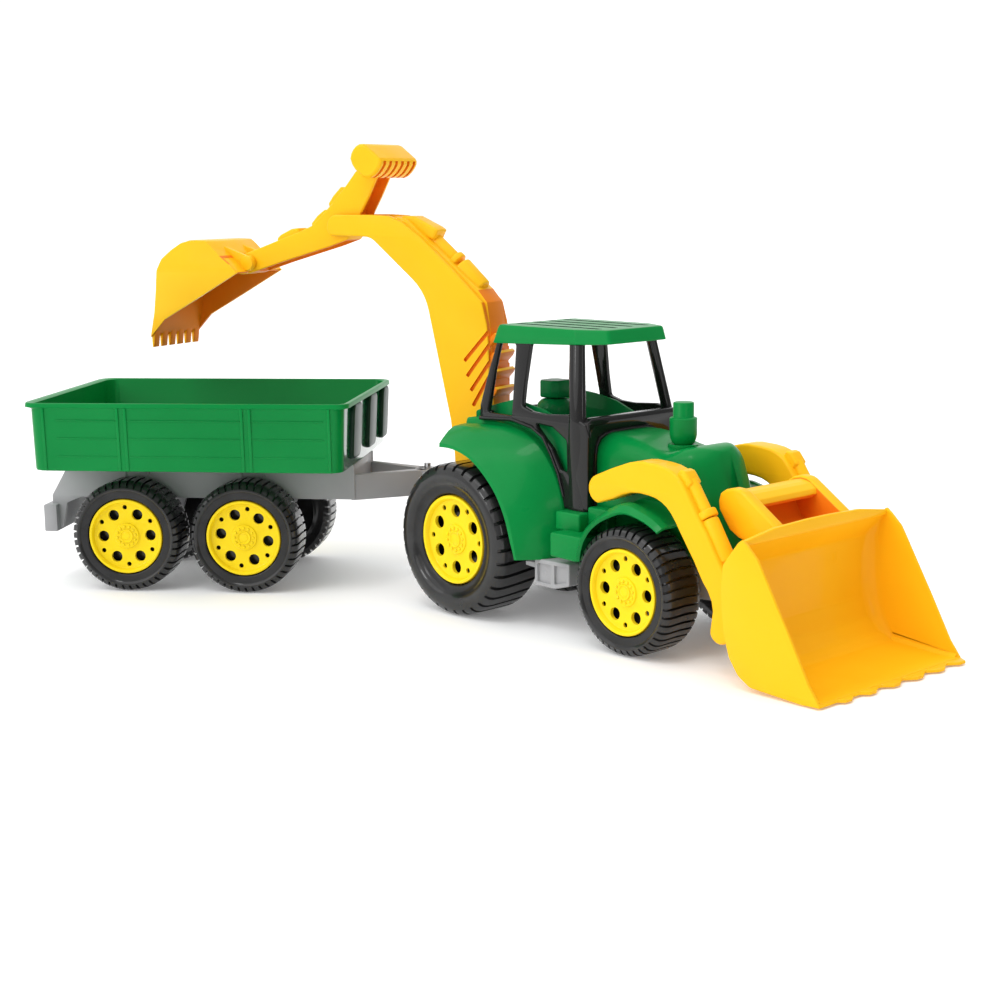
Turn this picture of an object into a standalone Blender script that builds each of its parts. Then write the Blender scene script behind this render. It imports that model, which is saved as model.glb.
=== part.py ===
# Toy farm tractor with front loader, rear digger arm and tandem-axle trailer.
# Metres, +Z up, +X forward, +Y to the left. The origin is on the floor under
# the middle of the whole set; dimensions below are millimetres.
import math

import bmesh
import bpy
from mathutils import Matrix, Vector

MM = 0.001

# ---------------------------------------------------------------- dimensions
REAR_AXLE_AT = (36.6, 122.43)     # rear axle centre seen from the origin (x, y)
GAP = 0.35                        # clearance between touching pieces

REAR_R, REAR_W, REAR_RIM_R = 77.5, 60.0, 45.6
FRONT_R, FRONT_W, FRONT_RIM_R = 60.0, 46.0, 41.0
REAR_FACE_Y = 101.0               # outer face of the rear wheels
FRONT_FACE_Y = 98.0
WHEELBASE = 228.8
AXLE_R = 3.0

HITCH_X = -152.0                  # vertical hitch pin behind the rear axle
HITCH_YAW = 39.8                  # trailer swung to the right at rest
TANDEM_X = -249.5                 # tandem centre behind the hitch pin
TANDEM_HALF = 65.0
TRAILER_FACE_Y = 100.0
BED_FRONT, BED_REAR = 187.0, -157.0   # from the tandem centre
BED_HALF_W, BED_BOTTOM, BED_TOP = 123.0, 134.0, 207.0
BED_TAPER, BED_WALL = 4.0, 3.0

SWING_X = -50.0                   # vertical pin of the digger
SWING_YAW = 18.0
DIPPER_PIN = (-173.0, 386.0)      # in the plane of the boom
SCOOP_PIN = (-295.0, 346.0)
BOOM_HALF_W, DIPPER_HALF_W, SCOOP_HALF_W = 23.0, 15.0, 42.5

LOADER_PIVOT = (191.0, 150.5)
BUCKET_PIVOT = (336.0, 52.0)
ARM_IN, ARM_OUT = 63.0, 87.5
BUCKET_HALF_W = 106.0
TYRE_STEPS, RIM_STEPS = 30, 20    # facets round a wheel

GREEN = (0.0, 0.26, 0.055)
YELLOW = (0.95, 0.50, 0.01)
LEMON = (0.95, 0.62, 0.01)
BLACK = (0.02, 0.02, 0.021)
RUBBER = (0.03, 0.03, 0.032)
GREY = (0.35, 0.35, 0.36)
STEEL = (0.55, 0.55, 0.56)

for old in list(bpy.data.objects):
    bpy.data.objects.remove(old, do_unlink=True)

PARTS = bpy.data.collections.new("toy_tractor_set")
CUTTERS = bpy.data.collections.new("cutters")
bpy.context.scene.collection.children.link(PARTS)
bpy.context.scene.collection.children.link(CUTTERS)


# ------------------------------------------------------------------- helpers
def material(name, colour, roughness, metallic=0.0):
    mat = bpy.data.materials.new(name)
    mat.use_nodes = True
    bsdf = mat.node_tree.nodes["Principled BSDF"]
    bsdf.inputs["Base Color"].default_value = (*colour, 1.0)
    bsdf.inputs["Roughness"].default_value = roughness
    bsdf.inputs["Metallic"].default_value = metallic
    return mat


def raw(mesh, name="blank"):
    ob = bpy.data.objects.new(name, mesh)
    CUTTERS.objects.link(ob)
    ob.hide_render = True
    ob.display_type = 'WIRE'
    return ob


def from_bmesh(bm, name="blank"):
    bmesh.ops.remove_doubles(bm, verts=bm.verts, dist=1e-6)
    bmesh.ops.recalc_face_normals(bm, faces=bm.faces)
    mesh = bpy.data.meshes.new(name)
    bm.to_mesh(mesh)
    bm.free()
    return raw(mesh, name)


def baked(ob):
    """Evaluate modifiers, weld, and leave a plain mesh object in place."""
    bpy.context.view_layer.update()
    deps = bpy.context.evaluated_depsgraph_get()
    mesh = bpy.data.meshes.new_from_object(ob.evaluated_get(deps))
    mesh.transform(ob.matrix_world)
    bpy.data.objects.remove(ob, do_unlink=True)
    bm = bmesh.new()
    bm.from_mesh(mesh)
    bmesh.ops.remove_doubles(bm, verts=bm.verts, dist=2e-6)
    bmesh.ops.dissolve_degenerate(bm, edges=bm.edges, dist=1e-6)
    bmesh.ops.recalc_face_normals(bm, faces=bm.faces)
    bm.to_mesh(mesh)
    bm.free()
    return raw(mesh)


def box(x0, x1, y0, y1, z0, z1):
    bm = bmesh.new()
    bmesh.ops.create_cube(bm, size=1.0)
    for v in bm.verts:
        v.co = Vector(((x0 + x1) / 2 + v.co.x * (x1 - x0),
                       (y0 + y1) / 2 + v.co.y * (y1 - y0),
                       (z0 + z1) / 2 + v.co.z * (z1 - z0))) * MM
    return from_bmesh(bm)


def rod(p, q, r, sides=20, r2=None):
    """Cylinder (or cone) from p to q."""
    p, q = Vector(p) * MM, Vector(q) * MM
    bm = bmesh.new()
    bmesh.ops.create_cone(bm, cap_ends=True, segments=sides, radius1=r * MM,
                          radius2=(r if r2 is None else r2) * MM,
                          depth=(q - p).length)
    turn = (q - p).to_track_quat('Z', 'X').to_matrix().to_4x4()
    bmesh.ops.transform(bm, matrix=Matrix.Translation((p + q) / 2) @ turn,
                        verts=bm.verts)
    return from_bmesh(bm)


def plate(points, y0, y1, holes=()):
    """Flat outline in the XZ plane, from y0 to y1."""
    curve = bpy.data.curves.new("outline", 'CURVE')
    curve.dimensions = '2D'
    curve.fill_mode = 'BOTH'
    curve.extrude = abs(y1 - y0) / 2 * MM
    for loop in (points, *holes):
        spline = curve.splines.new('POLY')
        spline.points.add(len(loop) - 1)
        for pt, (x, z) in zip(spline.points, loop):
            pt.co = (x * MM, z * MM, 0.0, 1.0)
        spline.use_cyclic_u = True
    ob = bpy.data.objects.new("outline", curve)
    CUTTERS.objects.link(ob)
    ob.rotation_euler = (math.pi / 2, 0, 0)
    ob.location = (0, (y0 + y1) / 2 * MM, 0)
    return baked(ob)


def plan(points, z0, z1):
    """Flat outline in the XY plane, from z0 to z1."""
    ob = plate(points, -z1, -z0)
    ob.data.transform(Matrix.Rotation(-math.pi / 2, 4, 'X'))
    return ob


def turned(profile, steps, sweep=360.0):
    """Profile of (radius, height) turned about Z by the Screw modifier."""
    mesh = bpy.data.meshes.new("profile")
    pts = [(r * MM, 0.0, z * MM) for r, z in profile]
    closed = profile[0][0] > 1e-6 or profile[-1][0] > 1e-6
    edges = [(i, i + 1) for i in range(len(pts) - 1)]
    if closed:
        edges.append((len(pts) - 1, 0))
    mesh.from_pydata(pts, edges, [])
    ob = raw(mesh, "profile")
    mod = ob.modifiers.new("screw", 'SCREW')
    mod.axis = 'Z'
    mod.angle = math.radians(sweep)
    mod.steps = mod.render_steps = steps
    mod.use_merge_vertices = sweep > 359.0
    mod.merge_threshold = 0.00001
    ob = baked(ob)
    bm = bmesh.new()
    bm.from_mesh(ob.data)
    bmesh.ops.holes_fill(bm, edges=[e for e in bm.edges if e.is_boundary])
    bmesh.ops.recalc_face_normals(bm, faces=bm.faces)
    bm.to_mesh(ob.data)
    bm.free()
    return ob


def boolean(ob, tool, operation, solver='EXACT'):
    mod = ob.modifiers.new("bool", 'BOOLEAN')
    mod.operation = operation
    mod.solver = solver
    mod.object = tool
    ob = baked(ob)
    bpy.data.objects.remove(tool, do_unlink=True)
    return ob


def add(ob, *tools):
    for tool in tools:
        ob = boolean(ob, tool, 'UNION')
    return ob


def cut(ob, *tools):
    for tool in tools:
        ob = boolean(ob, tool, 'DIFFERENCE')
    return ob


def moved(ob, dx=0.0, dy=0.0, dz=0.0):
    ob.data.transform(Matrix.Translation((dx * MM, dy * MM, dz * MM)))
    return ob


def mirrored(ob):
    """The same piece for the other side."""
    mesh = ob.data.copy()
    mesh.transform(Matrix.Scale(-1, 4, (0, 1, 0)))
    mesh.flip_normals()
    return raw(mesh)


def bevelled(ob, width, angle=40.0, segments=1):
    mod = ob.modifiers.new("bevel", 'BEVEL')
    mod.width = width * MM
    mod.segments = segments
    mod.limit_method = 'ANGLE'
    mod.angle_limit = math.radians(angle)
    return baked(ob)


def arc(cx, cz, r, a0, a1, n):
    return [(cx + r * math.cos(math.radians(a0 + (a1 - a0) * i / n)),
             cz + r * math.sin(math.radians(a0 + (a1 - a0) * i / n)))
            for i in range(n + 1)]


def loft(sections):
    """Skin through rings of equal point count, closed at both ends."""
    bm = bmesh.new()
    rings = [[bm.verts.new(Vector(p) * MM) for p in ring] for ring in sections]
    n = len(rings[0])
    for a, b in zip(rings, rings[1:]):
        for i in range(n):
            bm.faces.new((a[i], a[(i + 1) % n], b[(i + 1) % n], b[i]))
    bm.faces.new(rings[0][::-1])
    bm.faces.new(rings[-1])
    return from_bmesh(bm)


def empty(name, parent, at, yaw=0.0):
    ob = bpy.data.objects.new(name, None)
    PARTS.objects.link(ob)
    ob.parent = parent
    ob.location = Vector(at) * MM
    ob.rotation_euler = (0, 0, math.radians(yaw))
    return ob


def finish(ob, name, parent, mat, at=(0, 0, 0), smooth=False):
    """Name a piece, hang it on its frame and give it its material."""
    ob.name = name
    ob.data.name = name
    CUTTERS.objects.unlink(ob)
    PARTS.objects.link(ob)
    ob.hide_render = False
    ob.display_type = 'TEXTURED'
    ob.parent = parent
    ob.location = Vector(at) * MM
    ob.data.materials.clear()
    ob.data.materials.append(mat)
    for poly in ob.data.polygons:
        poly.use_smooth = smooth
    return ob


def back(at):
    return tuple(-v for v in at)


# -------------------------------------------------------------------- frames
tractor = empty("tractor_frame", None, (REAR_AXLE_AT[0], REAR_AXLE_AT[1], 0))
hitch = empty("hitch_axis", tractor, (HITCH_X, 0, 0), HITCH_YAW)
swing = empty("swing_axis", tractor, (SWING_X, 0, 0), SWING_YAW)
DIPPER_AT = (DIPPER_PIN[0], 0, DIPPER_PIN[1])
SCOOP_AT = (SCOOP_PIN[0], 0, SCOOP_PIN[1])
dipper_axis = empty("dipper_axis", swing, DIPPER_AT)
scoop_axis = empty("scoop_axis", dipper_axis,
                   (SCOOP_AT[0] - DIPPER_AT[0], 0, SCOOP_AT[2] - DIPPER_AT[2]))
LIFT_AT = (LOADER_PIVOT[0], 0, LOADER_PIVOT[1])
TILT_AT = (BUCKET_PIVOT[0], 0, BUCKET_PIVOT[1])
lift_axis = empty("lift_axis", tractor, LIFT_AT)
tilt_axis = empty("tilt_axis", lift_axis,
                  (TILT_AT[0] - LIFT_AT[0], 0, TILT_AT[2] - LIFT_AT[2]))


# -------------------------------------------------------------------- wheels
def tyre(r, width, rim_r):
    w = width / 2
    bead = rim_r + GAP
    tread = r / math.cos(math.pi / TYRE_STEPS)   # flats touch the floor at radius r
    return turned([(bead + 0.4, w - 5.5), (bead + 8.0, w - 0.3), (r - 9.0, w), (tread, w - 6.5),
                   (tread, -w + 6.5), (r - 9.0, -w), (bead + 8.0, -w + 0.3),
                   (bead + 0.4, -w + 5.5)], TYRE_STEPS)


def rim(rim_r, width, phase):
    w = width / 2
    hub_in = -w + 1.0
    ob = turned([(0.0, w - 5.0), (15.0, w - 5.6), (16.5, w - 7.5), (rim_r - 6.5, w - 7.5),
                 (rim_r - 4.0, w - 3.4), (rim_r, w - 3.4), (rim_r, -w + 6.0),
                 (rim_r - 3.0, -w + 6.0), (rim_r - 3.0, w - 11.0), (9.0, w - 11.0),
                 (9.0, hub_in), (AXLE_R + GAP, hub_in), (AXLE_R + GAP, w - 10.0),
                 (0.0, w - 10.0)], RIM_STEPS)
    for k in range(6):
        a = math.radians(phase + 60 * k)
        x, y = 0.64 * rim_r * math.cos(a), 0.64 * rim_r * math.sin(a)
        ob = cut(ob, rod((x, y, w - 14.0), (x, y, w), 0.147 * rim_r, 8))
    return ob


def wheel(name, parent, x, y_face, side, r, width, rim_r, phase):
    """Tyre and rim on one end of an axle; side is -1 right, +1 left."""
    turn = Matrix.Rotation(-side * math.pi / 2, 4, 'X')
    at = (x, side * (y_face - width / 2), r)
    for kind, ob, mat in (("tyre", tyre(r, width, rim_r), M_TYRE),
                          ("rim", rim(rim_r, width, phase), M_RIM)):
        ob.data.transform(turn)
        finish(ob, name.replace("wheel", kind), parent, mat, at, True)


M_GREEN = material("green_plastic", GREEN, 0.28)
M_YELLOW = material("yellow_plastic", YELLOW, 0.33)
M_RIM = material("lemon_rim_plastic", LEMON, 0.3)
M_FRAME = material("black_cab_plastic", BLACK, 0.3)
M_TYRE = material("tyre_plastic", RUBBER, 0.4)
M_GREY = material("grey_plastic", GREY, 0.38)
M_STEEL = material("steel_rod", STEEL, 0.3, 1.0)

for side, tag in ((-1, "right"), (1, "left")):
    wheel("rear_wheel_" + tag, tractor, 0, REAR_FACE_Y, side,
          REAR_R, REAR_W, REAR_RIM_R, 30)
    wheel("front_wheel_" + tag, tractor, WHEELBASE, FRONT_FACE_Y, side,
          FRONT_R, FRONT_W, FRONT_RIM_R, 0)
    wheel("trailer_rear_wheel_" + tag, hitch, TANDEM_X - TANDEM_HALF,
          TRAILER_FACE_Y, side, FRONT_R, FRONT_W, FRONT_RIM_R, 0)
    wheel("trailer_front_wheel_" + tag, hitch, TANDEM_X + TANDEM_HALF,
          TRAILER_FACE_Y, side, FRONT_R, FRONT_W, FRONT_RIM_R, 10)


def axle(name, parent, x, y_face, width, r):
    half = y_face - 10.5 - 2.0 * GAP
    finish(rod((x, -half, r), (x, half, r), AXLE_R, 16), name, parent, M_STEEL,
           (0, 0, 0), True)


axle("rear_axle", tractor, 0, REAR_FACE_Y, REAR_W, REAR_R)
axle("front_axle", tractor, WHEELBASE, FRONT_FACE_Y, FRONT_W, FRONT_R)
axle("trailer_rear_axle", hitch, TANDEM_X - TANDEM_HALF, TRAILER_FACE_Y, FRONT_W, FRONT_R)
axle("trailer_front_axle", hitch, TANDEM_X + TANDEM_HALF, TRAILER_FACE_Y, FRONT_W, FRONT_R)

# ------------------------------------------------------------------- chassis
CHASSIS_TOP = 86.0
chassis = plate([(-66, 60), (-66, CHASSIS_TOP), (268, CHASSIS_TOP), (290, 78),
                 (290, 52), (200, 46), (150, 50), (20, 58)], -36, 36)
chassis = add(chassis, box(98, 160, -80, 80, 44, 72))
chassis = cut(chassis,
              box(30, 190, -31, 31, 40, 82), box(206, 214, -31, 31, 40, 82),
              box(244, 280, -31, 31, 40, 74), box(-55, -12, -31, 31, 40, 80),
              box(104, 154, -90, -40, 48, 68), box(104, 154, 40, 90, 48, 68))
chassis = add(chassis, plan([(-60, -24), (-60, 24), (-150, 19)]
                            + [(HITCH_X + 19 * math.cos(math.radians(a)),
                                19 * math.sin(math.radians(a)))
                               for a in range(100, 261, 20)]
                            + [(-150, -19)], 79.2, CHASSIS_TOP - 0.6))
chassis = cut(chassis,
              rod((0, -60, REAR_R), (0, 60, REAR_R), AXLE_R + GAP, 16),
              rod((WHEELBASE, -60, FRONT_R), (WHEELBASE, 60, FRONT_R), AXLE_R + GAP, 16),
              rod((HITCH_X, 0, 70), (HITCH_X, 0, 100), 4.0 + GAP, 16),
              rod((SWING_X, 0, 70), (SWING_X, 0, 100), 6.0 + GAP, 16))
finish(chassis, "chassis", tractor, M_GREY)

# ---------------------------------------------------------------- body shell
BODY_BOTTOM = CHASSIS_TOP + GAP


def hood_ring(x, half, top, bottom, r):
    pts = []
    for cy, cz, a0 in ((half - r, top - r, 0), (-half + r, top - r, 90)):
        pts += [(x, cy + r * math.cos(math.radians(a0 + 22.5 * k)),
                 cz + r * math.sin(math.radians(a0 + 22.5 * k))) for k in range(5)]
    return pts + [(x, -half, bottom), (x, half, bottom)]


def hood_rings(inset):
    return [hood_ring(x, hw - inset, top - inset, BODY_BOTTOM - (1 if inset else 0), r)
            for x, hw, top, r in HOOD]


HOOD = ((136, 47, 194.5, 22), (165, 47, 194.5, 22), (190, 46, 190.5, 20),
        (218, 45, 183.5, 18), (245, 45, 186.5, 18), (262, 43, 188, 18),
        (276, 38, 186.5, 20), (284, 30, 181, 20))
hood = loft(hood_rings(0.0))
inner = [hood_ring(x, hw - 3.0, top - 3.0, BODY_BOTTOM - 2.0, r - 2.0)
         for x, hw, top, r in HOOD[1:-1]] + [hood_ring(280, 28, 177, BODY_BOTTOM - 2.0, 18)]
TUB_HALF = 53.0
tub = plate([(-14, BODY_BOTTOM), (-14, 199), (62, 199), (110, 190), (139, 172),
             (139, BODY_BOTTOM)], -TUB_HALF, TUB_HALF)
tub = cut(tub, plate([(-10.5, 118), (-10.5, 230), (135.5, 230), (135.5, 118)], -50, 50),
          box(-11, 136, -45, 45, 60, 114.5))
body = add(tub, hood)
body = cut(body, loft(inner))


def fender(cx, cz, section, a0, a1, steps):
    """Section of (radius, |y|) swept round a wheel from angle a0 to a1."""
    ob = turned([(r, -y) for r, y in section], steps, a1 - a0)
    ob.data.transform(Matrix.Rotation(math.radians(a0), 4, 'Z'))
    ob.data.transform(Matrix.Rotation(math.pi / 2, 4, 'X'))
    # after the turn the section's |y| runs to the right of the tractor
    ob.data.transform(Matrix.Translation((cx * MM, 0, cz * MM)))
    return ob


REAR_SECTION = [(119.5, 51), (122.5, 51), (122.5, 62), (90.5, 102), (86.0, 102.5),
                (86.0, 99.5), (89.0, 98.5), (119.5, 60.5)]
FRONT_SECTION = [(81.0, 44), (84.0, 44), (84.0, 58), (71.5, 95), (66.5, 97.0),
                 (66.5, 94.0), (69.0, 93.0), (81.0, 56)]


def on_right(ob):
    """Put a fender on the right-hand side (-Y), whichever way it was swept."""
    if sum(v.co.y for v in ob.data.vertices) > 0:
        return mirrored_in_place(ob)
    return ob


def mirrored_in_place(ob):
    other = mirrored(ob)
    bpy.data.objects.remove(ob, do_unlink=True)
    return other


for side in (-1, 1):
    rear = on_right(fender(0, REAR_R, REAR_SECTION, -4, 101, 11))
    front = on_right(fender(WHEELBASE, FRONT_R, FRONT_SECTION, 57, 160, 10))
    sill = box(96, 150, -90, -51, BODY_BOTTOM, 118)
    sill = add(sill, box(120, 172, -93, -45, 78, 104))
    boss = rod((LOADER_PIVOT[0], -ARM_IN + 0.8, LOADER_PIVOT[1]),
               (LOADER_PIVOT[0], -40.0, LOADER_PIVOT[1]), 11, 20)
    for ob in (rear, front, sill, boss):
        body = add(body, mirrored_in_place(ob) if side > 0 else ob)

for side in (-1, 1):
    # room for the front wheel and the rear wheel
    body = cut(body, rod((WHEELBASE, side * 49, FRONT_R), (WHEELBASE, side * 130, FRONT_R), 66.3, 28),
               rod((0, side * 39, REAR_R), (0, side * 130, REAR_R), 83.0, 28),
               rod((LOADER_PIVOT[0], side * 30, LOADER_PIVOT[1]),
                   (LOADER_PIVOT[0], side * 70, LOADER_PIVOT[1]), 4.0 + GAP, 16))
body = cut(body, rod((218, 0, 184.4), (218, 0, 215), 13.0 + GAP, 20),
           rod((218, 0, 150), (218, 0, 200), 7.0 + GAP, 16),
           box(98 - GAP, 160 + GAP, -80 - GAP, 80 + GAP, 40, 72 + GAP))
finish(body, "body_shell", tractor, M_GREEN)

# ------------------------------------------------------------------ exhaust
stack = turned([(0, 226), (9.0, 226), (9.8, 225), (9.8, 211.5), (13.0, 210.5),
                (13.0, 194), (10.0, 186.5), (7.0, 185.0), (7.0, 172), (0, 172)], 20)
finish(stack, "exhaust_stack", tractor, M_GREEN, (218, 0, 0), True)

# ---------------------------------------------------------------- cab frame
FRAME_IN, FRAME_OUT = TUB_HALF + GAP, TUB_HALF + 6.5
ROOF_REAR, ROOF_FRONT, ROOF_HALF = 16.7, 161.0, 55.2
PITCH = math.radians(2.3)


def roof_under(x):
    return 273.0 + (x - ROOF_REAR) * math.tan(PITCH)


FRAME_TOP_AT = (17.0, 27.0, 50.0, 66.0, 121.0, 141.0)
side_frame = plate(
    [(-3, 201), (-3, 208)] + [(17, 272.3), (141, 272.3), (143, 225), (150, 195),
     (150, 119.5), (118, 119.5), (107, 139), (93, 163), (79, 182), (60, 195), (42, 201)],
    -FRAME_OUT, -FRAME_IN,
    holes=[[(8, 211), (26, 268), (50, 268), (47, 213)],
           [(58, 222), (66, 268), (122, 268), (121, 213), (64, 215)],
           [(64, 202), (100, 200), (118, 194), (119, 137), (113, 143), (99, 167),
            (85, 186)]])
frame = add(side_frame, mirrored(side_frame))
# the windscreen sill follows the arch of the hood, and a bar joins the rear
COWL_HALF = FRAME_OUT - 1.2
arch = [(-COWL_HALF, 120.5), (-COWL_HALF, 219), (-30, 213), (30, 213), (COWL_HALF, 219),
        (COWL_HALF, 120.5), (47.6, 120.5), (47.6, 174)]
arch += [(p, z) for p, z in arc(25, 174.5, 23, 0, 90, 5)]
arch += [(p, z) for p, z in arc(-25, 174.5, 23, 90, 180, 5)] + [(-47.6, 120.5)]
cowl = plate(arch, 139.6, 148.4)
cowl.data.transform(Matrix.Rotation(-math.pi / 2, 4, 'Z'))
frame = add(frame, cowl, box(-1.8, 4.2, -COWL_HALF, COWL_HALF, 202.2, 208.6),
            box(18.2, 24.4, -COWL_HALF, COWL_HALF, 265.6, 271.4),
            box(133.4, 139.3, -COWL_HALF, COWL_HALF, 265.6, 271.4))
# the sides flare out to the window belt and lean in from there to the roof
BELT_FLARE, ROOF_LEAN, FORWARD = 0.12, 0.095, 7.2
for v in frame.data.vertices:
    low = max(0.0, min(1.0, (v.co.z / MM - 150.0) / 55.0))
    up = max(0.0, v.co.z / MM - 205.0) / 67.0
    edge = max(0.0, min(1.0, (abs(v.co.y) / MM - 40.0) / 12.0))
    v.co.x += (low - 1.6 * up) * FORWARD * edge * MM
    v.co.y *= 1.0 + BELT_FLARE * low - (BELT_FLARE + ROOF_LEAN) * up
    if v.co.z > 0.268:
        v.co.z += (v.co.x / MM - ROOF_REAR) * math.tan(PITCH) * MM
finish(frame, "cab_frame", tractor, M_FRAME)

# ------------------------------------------------------------------ cab roof
plan_pts = [(ROOF_REAR, -ROOF_HALF), (ROOF_FRONT - 32, -ROOF_HALF),
            (ROOF_FRONT, -ROOF_HALF + 18), (ROOF_FRONT, ROOF_HALF - 18),
            (ROOF_FRONT - 32, ROOF_HALF), (ROOF_REAR, ROOF_HALF)]


def roof_ring(inset, z):
    cx = (ROOF_REAR + ROOF_FRONT) / 2
    return [(cx + (x - cx) * (1 - inset / 72.0), y * (1 - inset / ROOF_HALF),
             z + (x - ROOF_REAR) * math.tan(PITCH)) for x, y in plan_pts]


roof = loft([roof_ring(0.0, 272.7), roof_ring(2.6, 286.0), roof_ring(6.0, 289.0)])
for k in range(5):
    y = -32 + 16 * k
    groove = box(24, 140, y - 1.3, y + 1.3, 288.0, 300)
    for v in groove.data.vertices:
        v.co.z += (v.co.x / MM - ROOF_REAR) * math.tan(PITCH) * MM
    roof = cut(roof, groove)
finish(roof, "cab_roof", tractor, M_GREEN)

# ---------------------------------------------------------------------- seat
seat = add(box(22, 70, -24, 24, 118 + GAP, 154),
           rod((47, 0, 150), (47, 0, 217.4), 18.7, 24),
           rod((47, 0, 216), (47, 0, 234.4), 14.0, 8))
finish(seat, "driver_seat", tractor, M_GREEN)

# -------------------------------------------------------------------- loader
ARM = ([(LOADER_PIVOT[0] + 13.5 * math.cos(math.radians(a)),
         LOADER_PIVOT[1] + 13.5 * math.sin(math.radians(a))) for a in range(110, 266, 22)]
       + [(209, 143.5), (230, 151.5), (252.5, 152), (267.7, 148), (278, 140), (289.5, 125),
          (306, 100), (317, 82), (322, 72), (325, 60), (325.5, 40)]
       + arc(337, 41, 11.5, 180, 360, 6)
       + [(347.5, 70), (345, 88), (342.6, 106), (321.4, 141), (306, 164), (299.6, 171),
          (292, 178), (281, 179.5), (261, 181.2), (245, 182), (228, 179.5), (205, 171)])
arm = plate(ARM, -ARM_OUT, -ARM_IN)
arm = cut(arm,
          rod((LOADER_PIVOT[0], -95, LOADER_PIVOT[1]), (LOADER_PIVOT[0], -40, LOADER_PIVOT[1]),
              4.0 + GAP, 16),
          rod((BUCKET_PIVOT[0], -95, BUCKET_PIVOT[1]), (BUCKET_PIVOT[0], -40, BUCKET_PIVOT[1]),
              4.0 + GAP, 16))
for side, tag in ((-1, "right"), (1, "left")):
    ob = raw(arm.data.copy()) if side < 0 else mirrored(arm)
    finish(ob, "loader_arm_" + tag, lift_axis, M_YELLOW, back(LIFT_AT))
    x, z = LOADER_PIVOT
    finish(rod((x, side * 44.5, z), (x, side * (ARM_OUT - 1), z), 4.0, 16), "loader_pivot_pin_" + tag,
           tractor, M_STEEL, (0, 0, 0), True)
    x, z = BUCKET_PIVOT
    finish(rod((x, side * 41.5, z), (x, side * (ARM_OUT - 1), z), 4.0, 16), "bucket_pin_" + tag,
           lift_axis, M_STEEL, back(LIFT_AT), True)
bpy.data.objects.remove(arm, do_unlink=True)

BUCKET = [(371, 128), (379.5, 131), (458, 2.2), (440, 1.5), (386, 5), (373, 13), (363, 27),
          (357, 46), (354.5, 66), (353.5, 88), (355, 107)]
BUCKET_IN = [(374.5, 140), (400, 150), (500, 2), (461, 5.0), (440, 4.5), (387.5, 8.5), (375.5, 16),
             (366, 29), (360.2, 47), (357.7, 66), (356.8, 88), (358.2, 105), (373.2, 124.5)]
bucket = plate(BUCKET, -BUCKET_HALF_W, BUCKET_HALF_W)
bucket = cut(bucket, plate(BUCKET_IN, -BUCKET_HALF_W + 3.0, BUCKET_HALF_W - 3.0))
TEETH = 6
PITCH_Y = 2 * BUCKET_HALF_W / TEETH
for k in range(TEETH):
    y = -BUCKET_HALF_W + PITCH_Y * (k + 0.5)
    bucket = add(bucket, plate([(446, 1.5), (446, 4.3), (458, 3.6), (466, 2.4), (466, 1.5)],
                               y - 11, y + 11))
EAR = ([(345, 66), (356, 70), (358, 106), (373, 127.5), (371, 131), (346, 147)]
       + arc(329, 149, 12.5, 20, 180, 7) + [(317, 118), (332, 80)])
for side in (-1, 1):
    a, b = sorted((side * 41, side * 53))
    bucket = add(bucket, plate(EAR, a, b))
    lug = plate([(356, 40), (357, 66)] + arc(336, 52, 9.5, 60, 300, 8), a, b)
    lug = cut(lug, rod((336, -70, 52), (336, 70, 52), 4.0 + GAP, 16))
    bucket = add(bucket, lug)
bucket = add(bucket, plate([(320, 146), (321, 155)] + arc(329, 149, 12.0, 140, 40, 4)
                           + [(341, 147), (340, 143)], -45, 45))
finish(bucket, "loader_bucket", tilt_axis, M_YELLOW, back(TILT_AT))

# ------------------------------------------------------------------- digger
base = add(rod((SWING_X, 0, CHASSIS_TOP + GAP), (SWING_X, 0, 112), 27, 24),
           rod((SWING_X, 0, 111), (SWING_X, 0, 124), 22, 24))
base = cut(base, rod((SWING_X, 0, 60), (SWING_X, 0, 140), 6.0 + GAP, 16))
finish(base, "digger_base", tractor, M_GREY)
finish(rod((SWING_X, 0, 78), (SWING_X, 0, 156), 6.0, 16), "swing_pin", tractor, M_STEEL,
       (0, 0, 0), True)

BOOM = ([(-30, 124 + GAP), (-31, 150), (-35, 185), (-62, 311), (-64, 324), (-131, 375.5), (-183, 375.5)]
        + arc(-173, 386, 13.0, 215, 100, 5)
        + [(-104, 397), (-82, 390), (-40, 360), (2, 327), (12, 276.5), (16, 250), (20, 200),
           (22, 124 + GAP)])
boom = plate(BOOM, -BOOM_HALF_W, BOOM_HALF_W)
# raised cylinder along the back of the boom and louvres down its foot
boom = add(boom, rod((-92, 0, 392), (-50, 0, 365), 10, 16), rod((-52, 0, 366), (2, 0, 323), 12.5, 16))
for k in range(4):
    z = 262 - 22 * k
    boom = add(boom, plate([(5, z - 17), (26, z), (28, z + 5), (24, z + 7), (5, z - 8)],
                           -BOOM_HALF_W + 0.7, BOOM_HALF_W - 0.7))
slot = box(-240, -128, -DIPPER_HALF_W - GAP, DIPPER_HALF_W + GAP, 340, 420)
boom = cut(boom, slot,
           plate([(-136, 420), (-136, 340), (-120, 362), (-112, 420)],
                 -DIPPER_HALF_W - GAP, DIPPER_HALF_W + GAP),
           rod((-173, -40, 386), (-173, 40, 386), 4.0 + GAP, 16),
           rod((0, 0, 100), (0, 0, 157), 6.0 + GAP, 16))
finish(boom, "boom", swing, M_YELLOW)
finish(rod((-173, -22.5, 386), (-173, 22.5, 386), 4.0, 16), "dipper_pin", swing, M_STEEL,
       (0, 0, 0), True)

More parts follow.
